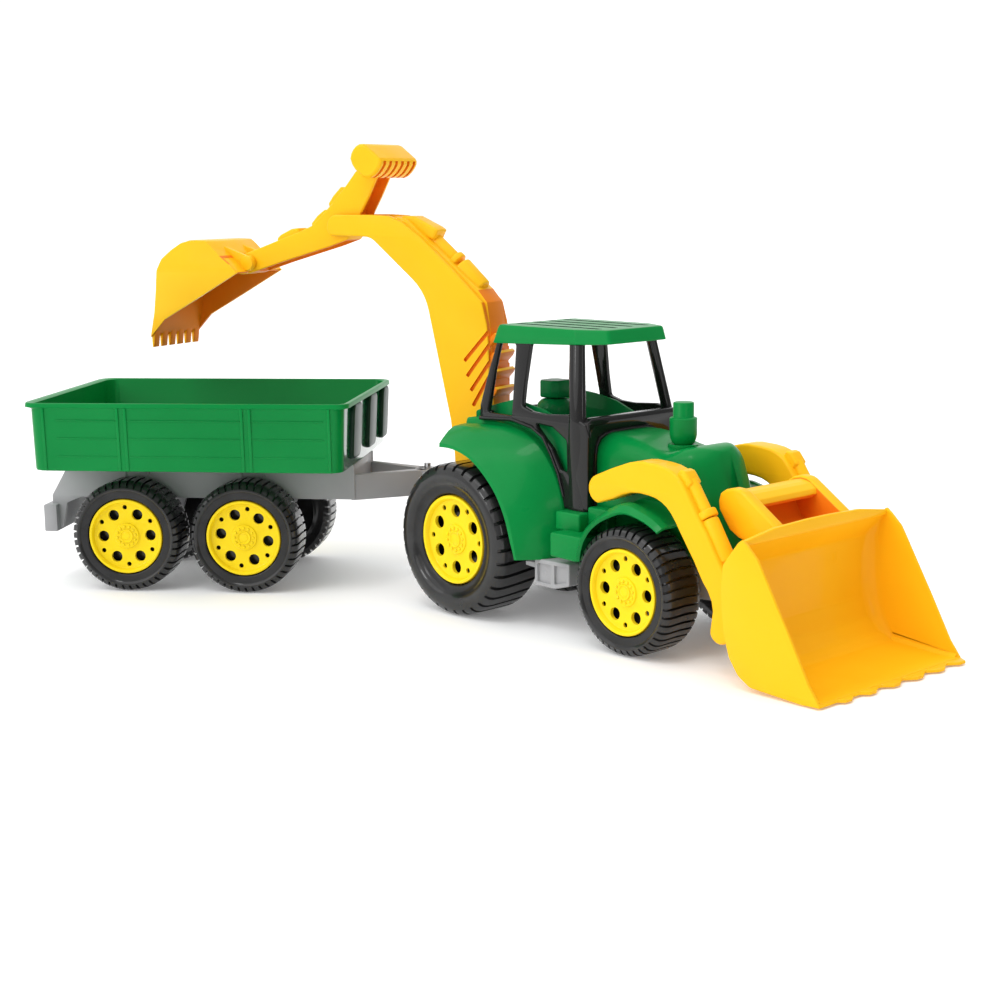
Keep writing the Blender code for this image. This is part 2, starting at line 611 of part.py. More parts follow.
DIPPER = ([(-303, 340)] + arc(-295, 346, 10.0, 225, 120, 5)
          + [(-240, 372), (-202, 387), (-194, 400), (-186, 409), (-152, 449), (-140, 462), (-128, 455),
             (-132, 445), (-158, 398), (-159, 378), (-166, 371.5), (-288, 337)])
dipper = plate(DIPPER, -DIPPER_HALF_W + 0.0, DIPPER_HALF_W)
grip = rod((-134, -34, 455), (-134, 34, 455), 14.5, 20)
for k in range(5):
    y = -22 + 11 * k
    grip = cut(grip, box(-136, -110, y - 2.6, y + 2.6, 430, 452))
dipper = add(dipper, grip)
dipper = cut(dipper, plate([(-282, 330), (-282, 345), (-170, 382), (-170, 360)], -11.5, 11.5),
             rod((-173, -40, 386), (-173, 40, 386), 4.0 + GAP, 16),
             rod((-295, -40, 346), (-295, 40, 346), 3.5 + GAP, 16))
finish(dipper, "dipper", dipper_axis, M_YELLOW, back(DIPPER_AT))
finish(rod((-295, -22, 346), (-295, 22, 346), 3.5, 16), "scoop_pin", dipper_axis, M_STEEL,
       back(DIPPER_AT), True)

SCOOP = [(-433, 262), (-427, 300), (-421, 337), (-410, 352), (-390, 365), (-364, 371), (-322, 369),
         (-305, 362), (-309, 334)]
SCOOP_IN = [(-433, 250), (-430.0, 268), (-424, 300), (-418, 336), (-408, 349.5), (-389, 362),
            (-364, 368), (-323, 366), (-312, 360), (-312, 325), (-380, 240)]
scoop = plate(SCOOP, -SCOOP_HALF_W, SCOOP_HALF_W)
scoop = cut(scoop, plate(SCOOP_IN, -SCOOP_HALF_W + 2.8, SCOOP_HALF_W - 2.8))
for k in range(6):
    y = -SCOOP_HALF_W + 2 * SCOOP_HALF_W / 6 * (k + 0.5)
    scoop = add(scoop, plate([(-433.5, 266), (-430.5, 266), (-431.2, 252), (-433.0, 252)],
                             y - 4.2, y + 4.2))
for side in (-1, 1):
    a, b = sorted((side * (DIPPER_HALF_W + GAP), side * (DIPPER_HALF_W + 6)))
    lug = plate([(-312, 364), (-318, 336)] + arc(-295, 346, 9.0, -120, 100, 7), a, b)
    lug = cut(lug, rod((-295, -60, 346), (-295, 60, 346), 3.5 + GAP, 16))
    scoop = add(scoop, lug)
finish(scoop, "digger_scoop", scoop_axis, M_YELLOW, back(SCOOP_AT))

# ------------------------------------------------------------------- trailer
X0 = TANDEM_X
FRAME_HIGH = BED_BOTTOM - GAP
frame = plate([(X0 + 178, 95), (X0 + 178, FRAME_HIGH), (X0 - 141, FRAME_HIGH), (X0 - 163, 96),
               (X0 - 163, 60), (X0 - 152, 60), (X0 - 146, 88), (X0 - 130, 94.6), (X0 - 96, 94),
               (X0 - 80, 52), (X0 - 50, 52.4), (X0 - 36, 95.1), (X0 + 36, 94.4), (X0 + 50, 52.8),
               (X0 + 80, 52.2), (X0 + 96, 95.5)], -48, 48)
frame = cut(frame, box(X0 - 150, X0 + 172, -43, 43, 40, FRAME_HIGH - 4))
frame = add(frame, box(X0 + 131.3, X0 + 177.2, -60, 60, 95.7, FRAME_HIGH - 0.7),
            box(X0 - 170, X0 - 155, -62, 62, 57, 87))
frame = cut(frame, box(X0 + 137.5, X0 + 171, -55, 55, 88, FRAME_HIGH - 4.8))
TIP = 15.0
DRAW_TOP, DRAW_LOW = 122.0, CHASSIS_TOP + 8.0
for side in (-1, 1):
    frame = add(frame, plan([(X0 + 175, side * 58.6), (X0 + 175, side * 49), (-8, side * 1),
                             (4, side * 10), (-6, side * 14.5)][::side], DRAW_LOW, DRAW_TOP))
frame = add(frame, rod((0, 0, CHASSIS_TOP + GAP), (0, 0, DRAW_TOP), TIP, 24))
frame = cut(frame, rod((0, 0, 60), (0, 0, 140), 4.0 + GAP, 16))
for s in (-1, 1):
    frame = cut(frame, rod((X0 + s * TANDEM_HALF, -70, FRONT_R), (X0 + s * TANDEM_HALF, 70, FRONT_R),
                           AXLE_R + GAP, 16))
finish(frame, "trailer_frame", hitch, M_GREY)
finish(rod((HITCH_X, 0, 76), (HITCH_X, 0, DRAW_TOP + 6), 4.0, 16), "hitch_pin", tractor, M_STEEL,
       (0, 0, 0), True)


def bed_ring(inset, z, taper):
    f, r, w = X0 + BED_FRONT - inset - taper, X0 + BED_REAR + inset + taper, BED_HALF_W - inset - taper
    c = 6.0
    return [(f, -w + c, z), (f, w - c, z), (f - c, w, z), (r + c, w, z), (r, w - c, z),
            (r, -w + c, z), (r + c, -w, z), (f - c, -w, z)]


bed = loft([bed_ring(0, BED_BOTTOM, BED_TAPER), bed_ring(0, BED_TOP, 0)])
bed = cut(bed, loft([bed_ring(BED_WALL, BED_BOTTOM + BED_WALL, BED_TAPER - 0.2),
                     bed_ring(BED_WALL, BED_TOP + 1, 0)]))
finish(bed, "trailer_bed", hitch, M_GREEN)

for ob in list(CUTTERS.objects):
    bpy.data.objects.remove(ob, do_unlink=True)
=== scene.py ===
import math

import bmesh
import bpy
from mathutils import Matrix, Vector
from mathutils.geometry import tessellate_polygon


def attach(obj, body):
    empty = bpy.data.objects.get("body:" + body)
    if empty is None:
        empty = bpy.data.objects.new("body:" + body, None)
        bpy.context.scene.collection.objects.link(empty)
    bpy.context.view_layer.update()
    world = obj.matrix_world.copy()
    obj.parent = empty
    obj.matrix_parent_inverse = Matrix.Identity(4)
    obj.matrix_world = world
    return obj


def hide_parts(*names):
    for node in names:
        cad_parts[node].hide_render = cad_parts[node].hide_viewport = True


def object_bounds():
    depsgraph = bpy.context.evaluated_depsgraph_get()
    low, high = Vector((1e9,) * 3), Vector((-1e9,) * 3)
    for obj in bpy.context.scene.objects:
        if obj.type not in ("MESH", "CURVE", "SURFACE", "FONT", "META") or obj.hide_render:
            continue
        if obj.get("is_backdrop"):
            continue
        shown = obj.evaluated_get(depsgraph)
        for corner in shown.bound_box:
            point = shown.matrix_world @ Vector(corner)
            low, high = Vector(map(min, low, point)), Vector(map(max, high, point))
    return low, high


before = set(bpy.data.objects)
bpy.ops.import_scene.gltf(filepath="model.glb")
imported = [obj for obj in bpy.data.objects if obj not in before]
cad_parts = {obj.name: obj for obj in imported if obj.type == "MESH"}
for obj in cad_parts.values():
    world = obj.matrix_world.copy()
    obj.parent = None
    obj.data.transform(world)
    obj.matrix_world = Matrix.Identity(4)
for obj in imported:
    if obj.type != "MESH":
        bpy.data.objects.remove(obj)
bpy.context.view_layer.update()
MM = 0.001

# ------------------------------------------------------------------- frames
T = Matrix.Translation((0.0366, 0.12243, 0.0))
H = T @ Matrix.Translation((-0.152, 0, 0)) @ Matrix.Rotation(math.radians(39.8), 4, 'Z')
S = T @ Matrix.Translation((-0.050, 0, 0)) @ Matrix.Rotation(math.radians(18.0), 4, 'Z')
X0 = -249.5


# ---------------------------------------------------------------- materials
def plastic(name, colour, rough, spread=0.06, grain=0.05, coat=0.25, fleck=900.0, dust=0.0, deep=None, reach=0.03, most=0.25):
    """Moulded plastic: cloudy pigment, fine orange peel, paler worn edges, and, when a deep colour is given, painted
    shade in hollows.
    """
    mat = bpy.data.materials.new(name)
    mat.use_nodes = True
    nt = mat.node_tree
    n, link = nt.nodes, nt.links
    bsdf = n["Principled BSDF"]
    co = n.new("ShaderNodeTexCoord")
    cloud = n.new("ShaderNodeTexNoise")
    cloud.inputs["Scale"].default_value = 14.0
    cloud.inputs["Detail"].default_value = 4.0
    link.new(co.outputs["Object"], cloud.inputs["Vector"])
    ramp = n.new("ShaderNodeValToRGB")
    lo = [max(0.0, c * (1 - spread)) for c in colour]
    hi = [min(1.0, c * (1 + spread) + 0.002) for c in colour]
    ramp.color_ramp.elements[0].position = 0.3
    ramp.color_ramp.elements[1].position = 0.72
    ramp.color_ramp.elements[0].color = (*lo, 1)
    ramp.color_ramp.elements[1].color = (*hi, 1)
    link.new(cloud.outputs["Fac"], ramp.inputs["Fac"])
    geo = n.new("ShaderNodeNewGeometry")
    edge = n.new("ShaderNodeMapRange")
    edge.inputs["From Min"].default_value = 0.52
    edge.inputs["From Max"].default_value = 0.62
    edge.inputs["To Max"].default_value = 0.16
    link.new(geo.outputs["Pointiness"], edge.inputs["Value"])
    worn = n.new("ShaderNodeMixRGB")
    worn.inputs["Color2"].default_value = (*[min(1.0, c * 1.35 + 0.03) for c in colour], 1)
    link.new(edge.outputs["Result"], worn.inputs["Fac"])
    link.new(ramp.outputs["Color"], worn.inputs["Color1"])
    last = worn.outputs["Color"]
    if dust > 0:
        patch = n.new("ShaderNodeTexNoise")
        patch.inputs["Scale"].default_value = 38.0
        patch.inputs["Detail"].default_value = 7.0
        link.new(co.outputs["Object"], patch.inputs["Vector"])
        amount = n.new("ShaderNodeMapRange")
        amount.inputs["From Min"].default_value = 0.45
        amount.inputs["From Max"].default_value = 0.8
        amount.inputs["To Max"].default_value = dust
        link.new(patch.outputs["Fac"], amount.inputs["Value"])
        grey = n.new("ShaderNodeMixRGB")
        grey.inputs["Color2"].default_value = (0.16, 0.16, 0.17, 1)
        link.new(amount.outputs["Result"], grey.inputs["Fac"])
        link.new(last, grey.inputs["Color1"])
        last = grey.outputs["Color"]
    # Painted shade: the deep colour is mixed in where ambient occlusion finds hollows and crevices, standing in for
    # shade and bounce light.
    if deep is not None:
        shut = n.new("ShaderNodeAmbientOcclusion")
        shut.samples = 8
        shut.inputs["Distance"].default_value = reach
        hollow = n.new("ShaderNodeMapRange")
        hollow.inputs["From Min"].default_value = 0.25
        hollow.inputs["From Max"].default_value = 0.85
        hollow.inputs["To Min"].default_value = most
        hollow.inputs["To Max"].default_value = 0.0
        link.new(shut.outputs["AO"], hollow.inputs["Value"])
        painted_shade_mix = n.new("ShaderNodeMixRGB")
        painted_shade_mix.inputs["Color2"].default_value = (*deep, 1)
        link.new(hollow.outputs["Result"], painted_shade_mix.inputs["Fac"])
        link.new(last, painted_shade_mix.inputs["Color1"])
        last = painted_shade_mix.outputs["Color"]
    link.new(last, bsdf.inputs["Base Color"])
    smear = n.new("ShaderNodeTexNoise")
    smear.inputs["Scale"].default_value = 30.0
    smear.inputs["Detail"].default_value = 6.0
    link.new(co.outputs["Object"], smear.inputs["Vector"])
    rr = n.new("ShaderNodeMapRange")
    rr.inputs["To Min"].default_value = max(0.05, rough - 0.07)
    rr.inputs["To Max"].default_value = rough + 0.09
    link.new(smear.outputs["Fac"], rr.inputs["Value"])
    link.new(rr.outputs["Result"], bsdf.inputs["Roughness"])
    peel = n.new("ShaderNodeTexNoise")
    peel.inputs["Scale"].default_value = fleck
    peel.inputs["Detail"].default_value = 2.0
    link.new(co.outputs["Object"], peel.inputs["Vector"])
    wave = n.new("ShaderNodeTexNoise")
    wave.inputs["Scale"].default_value = 55.0
    link.new(co.outputs["Object"], wave.inputs["Vector"])
    mix = n.new("ShaderNodeMath")
    mix.operation = 'MULTIPLY_ADD'
    mix.inputs[1].default_value = 0.25
    link.new(peel.outputs["Fac"], mix.inputs[0])
    link.new(wave.outputs["Fac"], mix.inputs[2])
    bump = n.new("ShaderNodeBump")
    bump.inputs["Strength"].default_value = grain
    bump.inputs["Distance"].default_value = 0.0012
    link.new(mix.outputs["Value"], bump.inputs["Height"])
    link.new(bump.outputs["Normal"], bsdf.inputs["Normal"])
    bsdf.inputs["Coat Weight"].default_value = coat
    bsdf.inputs["Coat Roughness"].default_value = 0.07
    bsdf.inputs["Specular IOR Level"].default_value = 0.08
    return mat


def steel(name):
    """Drawn steel rod with fine lengthwise lines."""
    mat = plastic(name, (0.55, 0.55, 0.56), 0.3, 0.1, 0.04, 0.0, 1400.0)
    mat.node_tree.nodes["Principled BSDF"].inputs["Metallic"].default_value = 1.0
    return mat


M_GREEN = plastic("moulded_green", (0.0, 0.22, 0.043), 0.3, 0.05, 0.04, 0.09)
# A polished copy of the green: the full clear coat is its finish, the darker base is painted shade for the bed's end
# faces.
M_GLOSS_SHADE = plastic("polished_green_painted_shade", (0.0, 0.1, 0.03), 0.2, 0.05, 0.03, 1.0)
M_DEEP = plastic("moulded_green_deep", (0.0, 0.17, 0.04), 0.33, 0.06, 0.05, 0.1)
# Painted shade: a dark copy of the green, used for the roof grooves and the bed's end ribs.
M_SHADE = plastic("green_painted_shade", (0.002, 0.026, 0.011), 0.33, 0.1, 0.05, 0.14)
# Painted shade: the deep colours of moulded_yellow (orange) and moulded_lemon (dark brown) are mixed into hollows by
# ambient occlusion.
M_YELLOW = plastic("moulded_yellow", (1.0, 0.515, 0.008), 0.36, 0.03, 0.04, 0.1, deep=(1.0, 0.485, 0.007))
# Painted shade: an orange copy of the yellow, put on the insides and undersides of the yellow mouldings where shade and
# bounce light fall.
M_YELLOW_SHADE = plastic("yellow_painted_shade", (0.86, 0.225, 0.008), 0.4, 0.06, 0.05, 0.05)
M_RIM = plastic("moulded_lemon", (0.93, 0.68, 0.011), 0.32, 0.03, 0.04, 0.12, deep=(0.42, 0.2, 0.002), reach=0.005, most=0.75)
M_BLACK = plastic("moulded_black", (0.0075, 0.0072, 0.0075), 0.18, 0.2, 0.05, 0.55)
M_TYRE = plastic("tyre_black", (0.014, 0.014, 0.0145), 0.28, 0.2, 0.1, 0.7, 700.0, 0.08)
M_SIDE = plastic("tyre_sidewall", (0.014, 0.014, 0.0145), 0.28, 0.12, 0.1, 0.4, 700.0, 0.08)
M_GREY = plastic("moulded_grey", (0.35, 0.35, 0.36), 0.36, 0.05, 0.05, 0.12)
M_STEEL = steel("drawn_steel")


# ------------------------------------------------------------------ helpers
def put(bm_or_mesh, name):
    if isinstance(bm_or_mesh, bmesh.types.BMesh):
        mesh = bpy.data.meshes.new(name)
        bm_or_mesh.to_mesh(mesh)
        bm_or_mesh.free()
    else:
        mesh = bm_or_mesh
    ob = bpy.data.objects.new(name, mesh)
    bpy.context.scene.collection.objects.link(ob)
    return ob


def drop(ob):
    bpy.data.objects.remove(ob, do_unlink=True)


def baked(ob):
    bpy.context.view_layer.update()
    deps = bpy.context.evaluated_depsgraph_get()
    mesh = bpy.data.meshes.new_from_object(ob.evaluated_get(deps))
    mesh.transform(ob.matrix_world)
    name = ob.name
    drop(ob)
    return put(mesh, name)


def tidy(ob, dist=4e-6):
    bm = bmesh.new()
    bm.from_mesh(ob.data)
    bmesh.ops.remove_doubles(bm, verts=bm.verts, dist=dist)
    bmesh.ops.recalc_face_normals(bm, faces=bm.faces)
    bm.to_mesh(ob.data)
    bm.free()
    return ob


def shade(ob, angle=32.0):
    bm = bmesh.new()
    bm.from_mesh(ob.data)
    lim = math.radians(angle)
    for f in bm.faces:
        f.smooth = True
    for e in bm.edges:
        e.smooth = not (len(e.link_faces) == 2 and e.calc_face_angle(0) > lim)
    bm.to_mesh(ob.data)
    bm.free()
    return ob


def bev(ob, width, seg=2, angle=32.0):
    mod = ob.modifiers.new("bevel", 'BEVEL')
    mod.width = width * MM
    mod.segments = seg
    mod.limit_method = 'ANGLE'
    mod.angle_limit = math.radians(angle)
    mod.use_clamp_overlap = True
    return baked(ob)


def box(x0, x1, y0, y1, z0, z1, bevel=0.0, seg=2):
    bm = bmesh.new()
    bmesh.ops.create_cube(bm, size=1.0)
    for v in bm.verts:
        v.co = Vector(((x0 + x1) / 2 + v.co.x * (x1 - x0), (y0 + y1) / 2 + v.co.y * (y1 - y0),
                       (z0 + z1) / 2 + v.co.z * (z1 - z0))) * MM
    ob = put(bm, "box")
    return bev(ob, bevel, seg) if bevel else ob


def rod(p, q, r, sides=28, r2=None, bevel=0.0, seg=2):
    p, q = Vector(p) * MM, Vector(q) * MM
    bm = bmesh.new()
    bmesh.ops.create_cone(bm, cap_ends=True, segments=sides, radius1=r * MM,
                          radius2=(r if r2 is None else r2) * MM, depth=(q - p).length)
    turn = (q - p).to_track_quat('Z', 'X').to_matrix().to_4x4()
    bmesh.ops.transform(bm, matrix=Matrix.Translation((p + q) / 2) @ turn, verts=bm.verts)
    ob = put(bm, "rod")
    return bev(ob, bevel, seg, 50) if bevel else ob


def area2(pts):
    return sum(a[0] * b[1] - b[0] * a[1] for a, b in zip(pts, pts[1:] + pts[:1]))


def inset(pts, d):
    """Move every side of an anticlockwise outline inwards by d."""
    out = []
    n = len(pts)
    for i in range(n):
        a, b, c = Vector(pts[i - 1]), Vector(pts[i]), Vector(pts[(i + 1) % n])
        u, v = (b - a).normalized(), (c - b).normalized()
        n1, n2 = Vector((-u.y, u.x)), Vector((-v.y, v.x))
        m = n1 + n2
        k = m.dot(n1)
        step = m * (d / k) if k > 0.25 else n1 * d
        out.append((b.x + step.x, b.y + step.y))
    return out


def clean(pts, gap=0.05):
    out = []
    for p in pts:
        if not out or math.hypot(p[0] - out[-1][0], p[1] - out[-1][1]) > gap:
            out.append((p[0], p[1]))
    if math.hypot(out[0][0] - out[-1][0], out[0][1] - out[-1][1]) <= gap:
        out.pop()
    return out


def plate(points, y0, y1, bevel=1.2, seg=2, holes=()):
    """Flat outline in XZ from y0 to y1 with rounded edges."""
    y0, y1 = min(y0, y1), max(y0, y1)
    loops = []
    for k, loop in enumerate([points, *holes]):
        loop = clean(list(loop))
        if area2(loop) < 0:
            loop = loop[::-1]
        loops.append((loop, 1.0 if k == 0 else -1.0))
    if bevel > 0:
        levels = [(y0 + bevel * (1 - math.cos(math.pi / 2 * i / seg)), bevel * (1 - math.sin(math.pi / 2 * i / seg))) for i in range(seg + 1)]
        levels += [(y0 + y1 - y, d) for y, d in levels[::-1]]
    else:
        levels = [(y0, 0.0), (y1, 0.0)]
    bm = bmesh.new()
    ends = []
    for loop, sign in loops:
        rings = []
        for y, d in levels:
            flat = inset(loop, sign * d) if d > 1e-6 else loop
            rings.append([bm.verts.new((x * MM, y * MM, z * MM)) for x, z in flat])
        n = len(loop)
        for p, q in zip(rings, rings[1:]):
            for i in range(n):
                bm.faces.new((p[i], p[(i + 1) % n], q[(i + 1) % n], q[i]))
        ends.append((rings[0], rings[-1]))
    for which in (0, 1):
        verts = [v for pair in ends for v in pair[which]]
        tris = tessellate_polygon([[Vector((v.co.x, v.co.z, 0)) for v in pair[which]] for pair in ends])
        for tri in tris:
            if len({verts[i] for i in tri}) == 3:
                try:
                    bm.faces.new([verts[i] for i in tri])
                except ValueError:
                    pass
    bmesh.ops.recalc_face_normals(bm, faces=bm.faces)
    return put(bm, "outline")


def plan(points, z0, z1, bevel=1.2, seg=2):
    ob = plate(points, -z1, -z0, bevel, seg)
    ob.data.transform(Matrix.Rotation(-math.pi / 2, 4, 'X'))
    return ob


def cross(points, x0, x1, bevel=1.2, seg=2):
    """Flat outline in YZ from x0 to x1."""
    ob = plate([(-y, z) for y, z in points], x0, x1, bevel, seg)
    ob.data.transform(Matrix.Rotation(-math.pi / 2, 4, 'Z'))
    for v in ob.data.vertices:
        v.co.y = v.co.y
    return ob


def rounded(pts, r, n=4, only=None):
    """Round the corners of an outline with radius r."""
    out = []
    m = len(pts)
    for i in range(m):
        a, b, c = Vector(pts[i - 1]), Vector(pts[i]), Vector(pts[(i + 1) % m])
        rr = r if only is None else only.get(i, 0.0)
        if rr <= 0:
            out.append((b.x, b.y))
            continue
        u, v = (a - b), (c - b)
        lu, lv = u.length, v.length
        u.normalize(); v.normalize()
        ang = math.acos(max(-1, min(1, u.dot(v))))
        if ang > math.radians(172):
            out.append((b.x, b.y))
            continue
        d = min(rr / math.tan(ang / 2), lu * 0.47, lv * 0.47)
        p, q = b + u * d, b + v * d
        for k in range(n + 1):
            t = k / n
            w = p * (1 - t) ** 2 + b * 2 * t * (1 - t) + q * t ** 2
            out.append((w.x, w.y))
    return out


def arc(cx, cz, r, a0, a1, n):
    return [(cx + r * math.cos(math.radians(a0 + (a1 - a0) * i / n)),
             cz + r * math.sin(math.radians(a0 + (a1 - a0) * i / n))) for i in range(n + 1)]


def loft(sections, caps=True):
    bm = bmesh.new()
    rings = [[bm.verts.new(Vector(p) * MM) for p in ring] for ring in sections]
    n = len(rings[0])
    for a, b in zip(rings, rings[1:]):
        for i in range(n):
            bm.faces.new((a[i], a[(i + 1) % n], b[(i + 1) % n], b[i]))
    if caps:
        bm.faces.new(rings[0][::-1])
        bm.faces.new(rings[-1])
    bmesh.ops.recalc_face_normals(bm, faces=bm.faces)
    return put(bm, "loft")


def curve(keys, a):
    """Smooth rows between (angle, values) keys."""
    keys = sorted(keys)
    i = max(0, min(len(keys) - 2, sum(1 for k in keys if k[0] <= a) - 1))
    p = [keys[max(0, min(len(keys) - 1, i + j))] for j in (-1, 0, 1, 2)]
    t = (a - p[1][0]) / (p[2][0] - p[1][0])
    out = []
    for k in range(len(p[1][1])):
        m1 = (p[2][1][k] - p[0][1][k]) / max(1e-6, p[2][0] - p[0][0]) * (p[2][0] - p[1][0])
        m2 = (p[3][1][k] - p[1][1][k]) / max(1e-6, p[3][0] - p[1][0]) * (p[2][0] - p[1][0])
        out.append((2 * t ** 3 - 3 * t ** 2 + 1) * p[1][1][k] + (t ** 3 - 2 * t ** 2 + t) * m1
                   + (-2 * t ** 3 + 3 * t ** 2) * p[2][1][k] + (t ** 3 - t ** 2) * m2)
    return out


def fender(keys, ys, cx, cz, steps, wall=3.0):
    """Mudguard over a wheel centre: radius at each |y|, changing with the angle."""
    a0, a1 = min(keys)[0], max(keys)[0]
    rings = []
    for i in range(steps + 1):
        ang = a0 + (a1 - a0) * i / steps
        rs = curve(keys, ang)
        a = math.radians(ang)
        skin = list(zip(rs, ys))
        under = [(r - wall, y - (1.6 if y > ys[0] + 8 else 0.0)) for r, y in skin[:-1]][::-1]
        rings.append([(cx + r * math.cos(a), -y, cz + r * math.sin(a)) for r, y in skin + under])
    return loft(rings)


def turned(profile, steps, closed=False):
    """Profile of (radius, height) about Z."""
    bm = bmesh.new()
    rings = []
    for r, z in profile:
        if r < 1e-6:
            rings.append([bm.verts.new((0, 0, z * MM))])
        else:
            rings.append([bm.verts.new((r * MM * math.cos(2 * math.pi * i / steps),
                                        r * MM * math.sin(2 * math.pi * i / steps), z * MM))
                          for i in range(steps)])
    pairs = list(zip(rings, rings[1:]))
    if closed:
        pairs.append((rings[-1], rings[0]))
    for a, b in pairs:
        for i in range(steps):
            j = (i + 1) % steps
            quad = [a[i % len(a)], a[j % len(a)], b[j % len(b)], b[i % len(b)]]
            face = []
            for v in quad:
                if v not in face:
                    face.append(v)
            if len(face) > 2:
                bm.faces.new(face)
    bmesh.ops.recalc_face_normals(bm, faces=bm.faces)
    return put(bm, "turned")


def boolean(ob, tools, op='DIFFERENCE'):
    for tool in tools:
        mod = ob.modifiers.new("bool", 'BOOLEAN')
        mod.operation = op
        mod.solver = 'EXACT'
        mod.object = tool
    ob = baked(ob)
    for tool in tools:
        drop(tool)
    return tidy(ob)


def joined(*obs):
    """Several shapes as one mesh object."""
    bm = bmesh.new()
    for ob in obs:
        bm.from_mesh(ob.data)
        drop(ob)
    return put(bm, "joined")


def within(poly, x, z):
    """Is the point (x, z) inside the outline?"""
    hit = False
    for (xa, za), (xb, zb) in zip(poly, poly[1:] + poly[:1]):
        if (za > z) != (zb > z) and x < (xb - xa) * (z - za) / (zb - za) + xa:
            hit = not hit
    return hit


def mark(ob, test, index=1):
    """Second material on the faces that pass the test (centre and normal, mm)."""
    for p in ob.data.polygons:
        if test(p.center / MM, p.normal):
            p.material_index = index
    return ob


def hollow_faces(ob, polys, y0, y1, index=1):
    """Second material, the painted shade, on faces that look into a pocket."""
    def look(c, n):
        q = c + n * 0.6
        return y0 < q.y < y1 and any(within(poly, q.x, q.z) for poly in polys)
    return mark(ob, look, index)


def flipped(ob):
    """A copy for the other side of the centre plane."""
    mesh = ob.data.copy()
    mesh.transform(Matrix.Scale(-1, 4, (0, 1, 0)))
    mesh.flip_normals()
    return put(mesh, ob.name)


def both(ob):
    return joined(ob, flipped(ob))


def give(ob, name, body, mat, nodes=(), place=None, smooth=32.0):
    """Name, material, place, and the body that the piece rides on."""
    ob.name = name
    ob.data.name = name
    kinds = [p.material_index for p in ob.data.polygons]
    ob.data.materials.clear()
    for m in (mat if isinstance(mat, (list, tuple)) else (mat,)):
        ob.data.materials.append(m)
    for p, k in zip(ob.data.polygons, kinds):
        p.material_index = min(k, len(ob.data.materials) - 1)
    if smooth:
        shade(ob, smooth)
    if place is not None:
        ob.matrix_world = place
    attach(ob, body)
    if nodes:
        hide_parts(*nodes)
    return ob


# ------------------------------------------------------------------- wheels
def tyre_mesh(profile, lugs, skew, gap, name):
    """profile rows: (radius, height, groove depth, skew weight, material)."""
    times = (0.0, gap, gap + 0.05, (gap + 1.0) / 2, 0.84, 0.955)
    steps = lugs * len(times)
    bm = bmesh.new()
    rings = []
    for r, z, deep, w, m in profile:
        ring = []
        for i in range(steps):
            k, t = divmod(i, len(times))
            a = 2 * math.pi * (k + times[t] + skew * w) / lugs
            rr = (r - (deep if t < 2 else 0.0)) * MM
            ring.append(bm.verts.new((rr * math.cos(a), rr * math.sin(a), z * MM)))
        rings.append((ring, m))
    n = len(rings)
    for q in range(n):
        (a, m), (b, _) = rings[q], rings[(q + 1) % n]
        for i in range(steps):
            j = (i + 1) % steps
            f = bm.faces.new((a[i], a[j], b[j], b[i]))
            f.material_index = m
    bmesh.ops.recalc_face_normals(bm, faces=bm.faces)
    mesh = bpy.data.meshes.new(name)
    bm.to_mesh(mesh)
    bm.free()
    return mesh


REAR_TYRE = [  # radius, height, groove, skew, material
    (46.4, 23.0, 0, 0, 1), (46.6, 27.4, 0, 0, 1), (47.6, 28.6, 0, 0, 1), (51.0, 29.0, 0, 0, 1), (54.6, 30.2, 0, 0, 1),
    (56.4, 31.8, 0, 0, 0), (59.0, 33.4, 0, 0, 0), (62.5, 34.2, 0, 0, 0), (66.0, 34.2, 0, 0, 0),
    (69.0, 33.6, 0, 0, 0), (71.0, 32.8, 0.0, 0.0, 0), (71.6, 32.5, 1.2, 0.02, 0), (73.8, 31.2, 2.8, 0.08, 0),
    (75.8, 28.8, 3.4, 0.16, 0), (77.0, 25.0, 3.6, 0.24, 0), (77.5, 19.0, 3.6, 0.36, 0), (77.5, 8.0, 3.6, 0.6, 0), (77.5, 0.0, 3.6, 0.85, 0),
    (77.5, -8.0, 3.4, 1.1, 0), (77.5, -17.0, 3.4, 1.38, 0), (77.0, -21.0, 3.2, 1.5, 0), (75.6, -23.4, 2.6, 1.6, 0),
    (73.4, -25.0, 0.9, 1.68, 0), (72.2, -26.2, 0, 1.7, 0), (66.5, -29.6, 0, 1.7, 0), (58.5, -29.3, 0, 1.7, 0),
    (52.0, -27.0, 0, 1.7, 1), (46.4, -25.0, 0, 1.7, 1), (43.6, -23.0, 0, 1.7, 0), (42.0, 4.0, 0, 1.7, 0),
    (14.0, 5.0, 0, 1.7, 0), (12.5, -24.0, 0, 1.7, 0), (3.4, -24.5, 0, 1.7, 0), (3.4, 8.5, 0, 1.7, 0), (44.0, 9.0, 0, 0, 0), (46.3, 16.0, 0, 0, 0)]
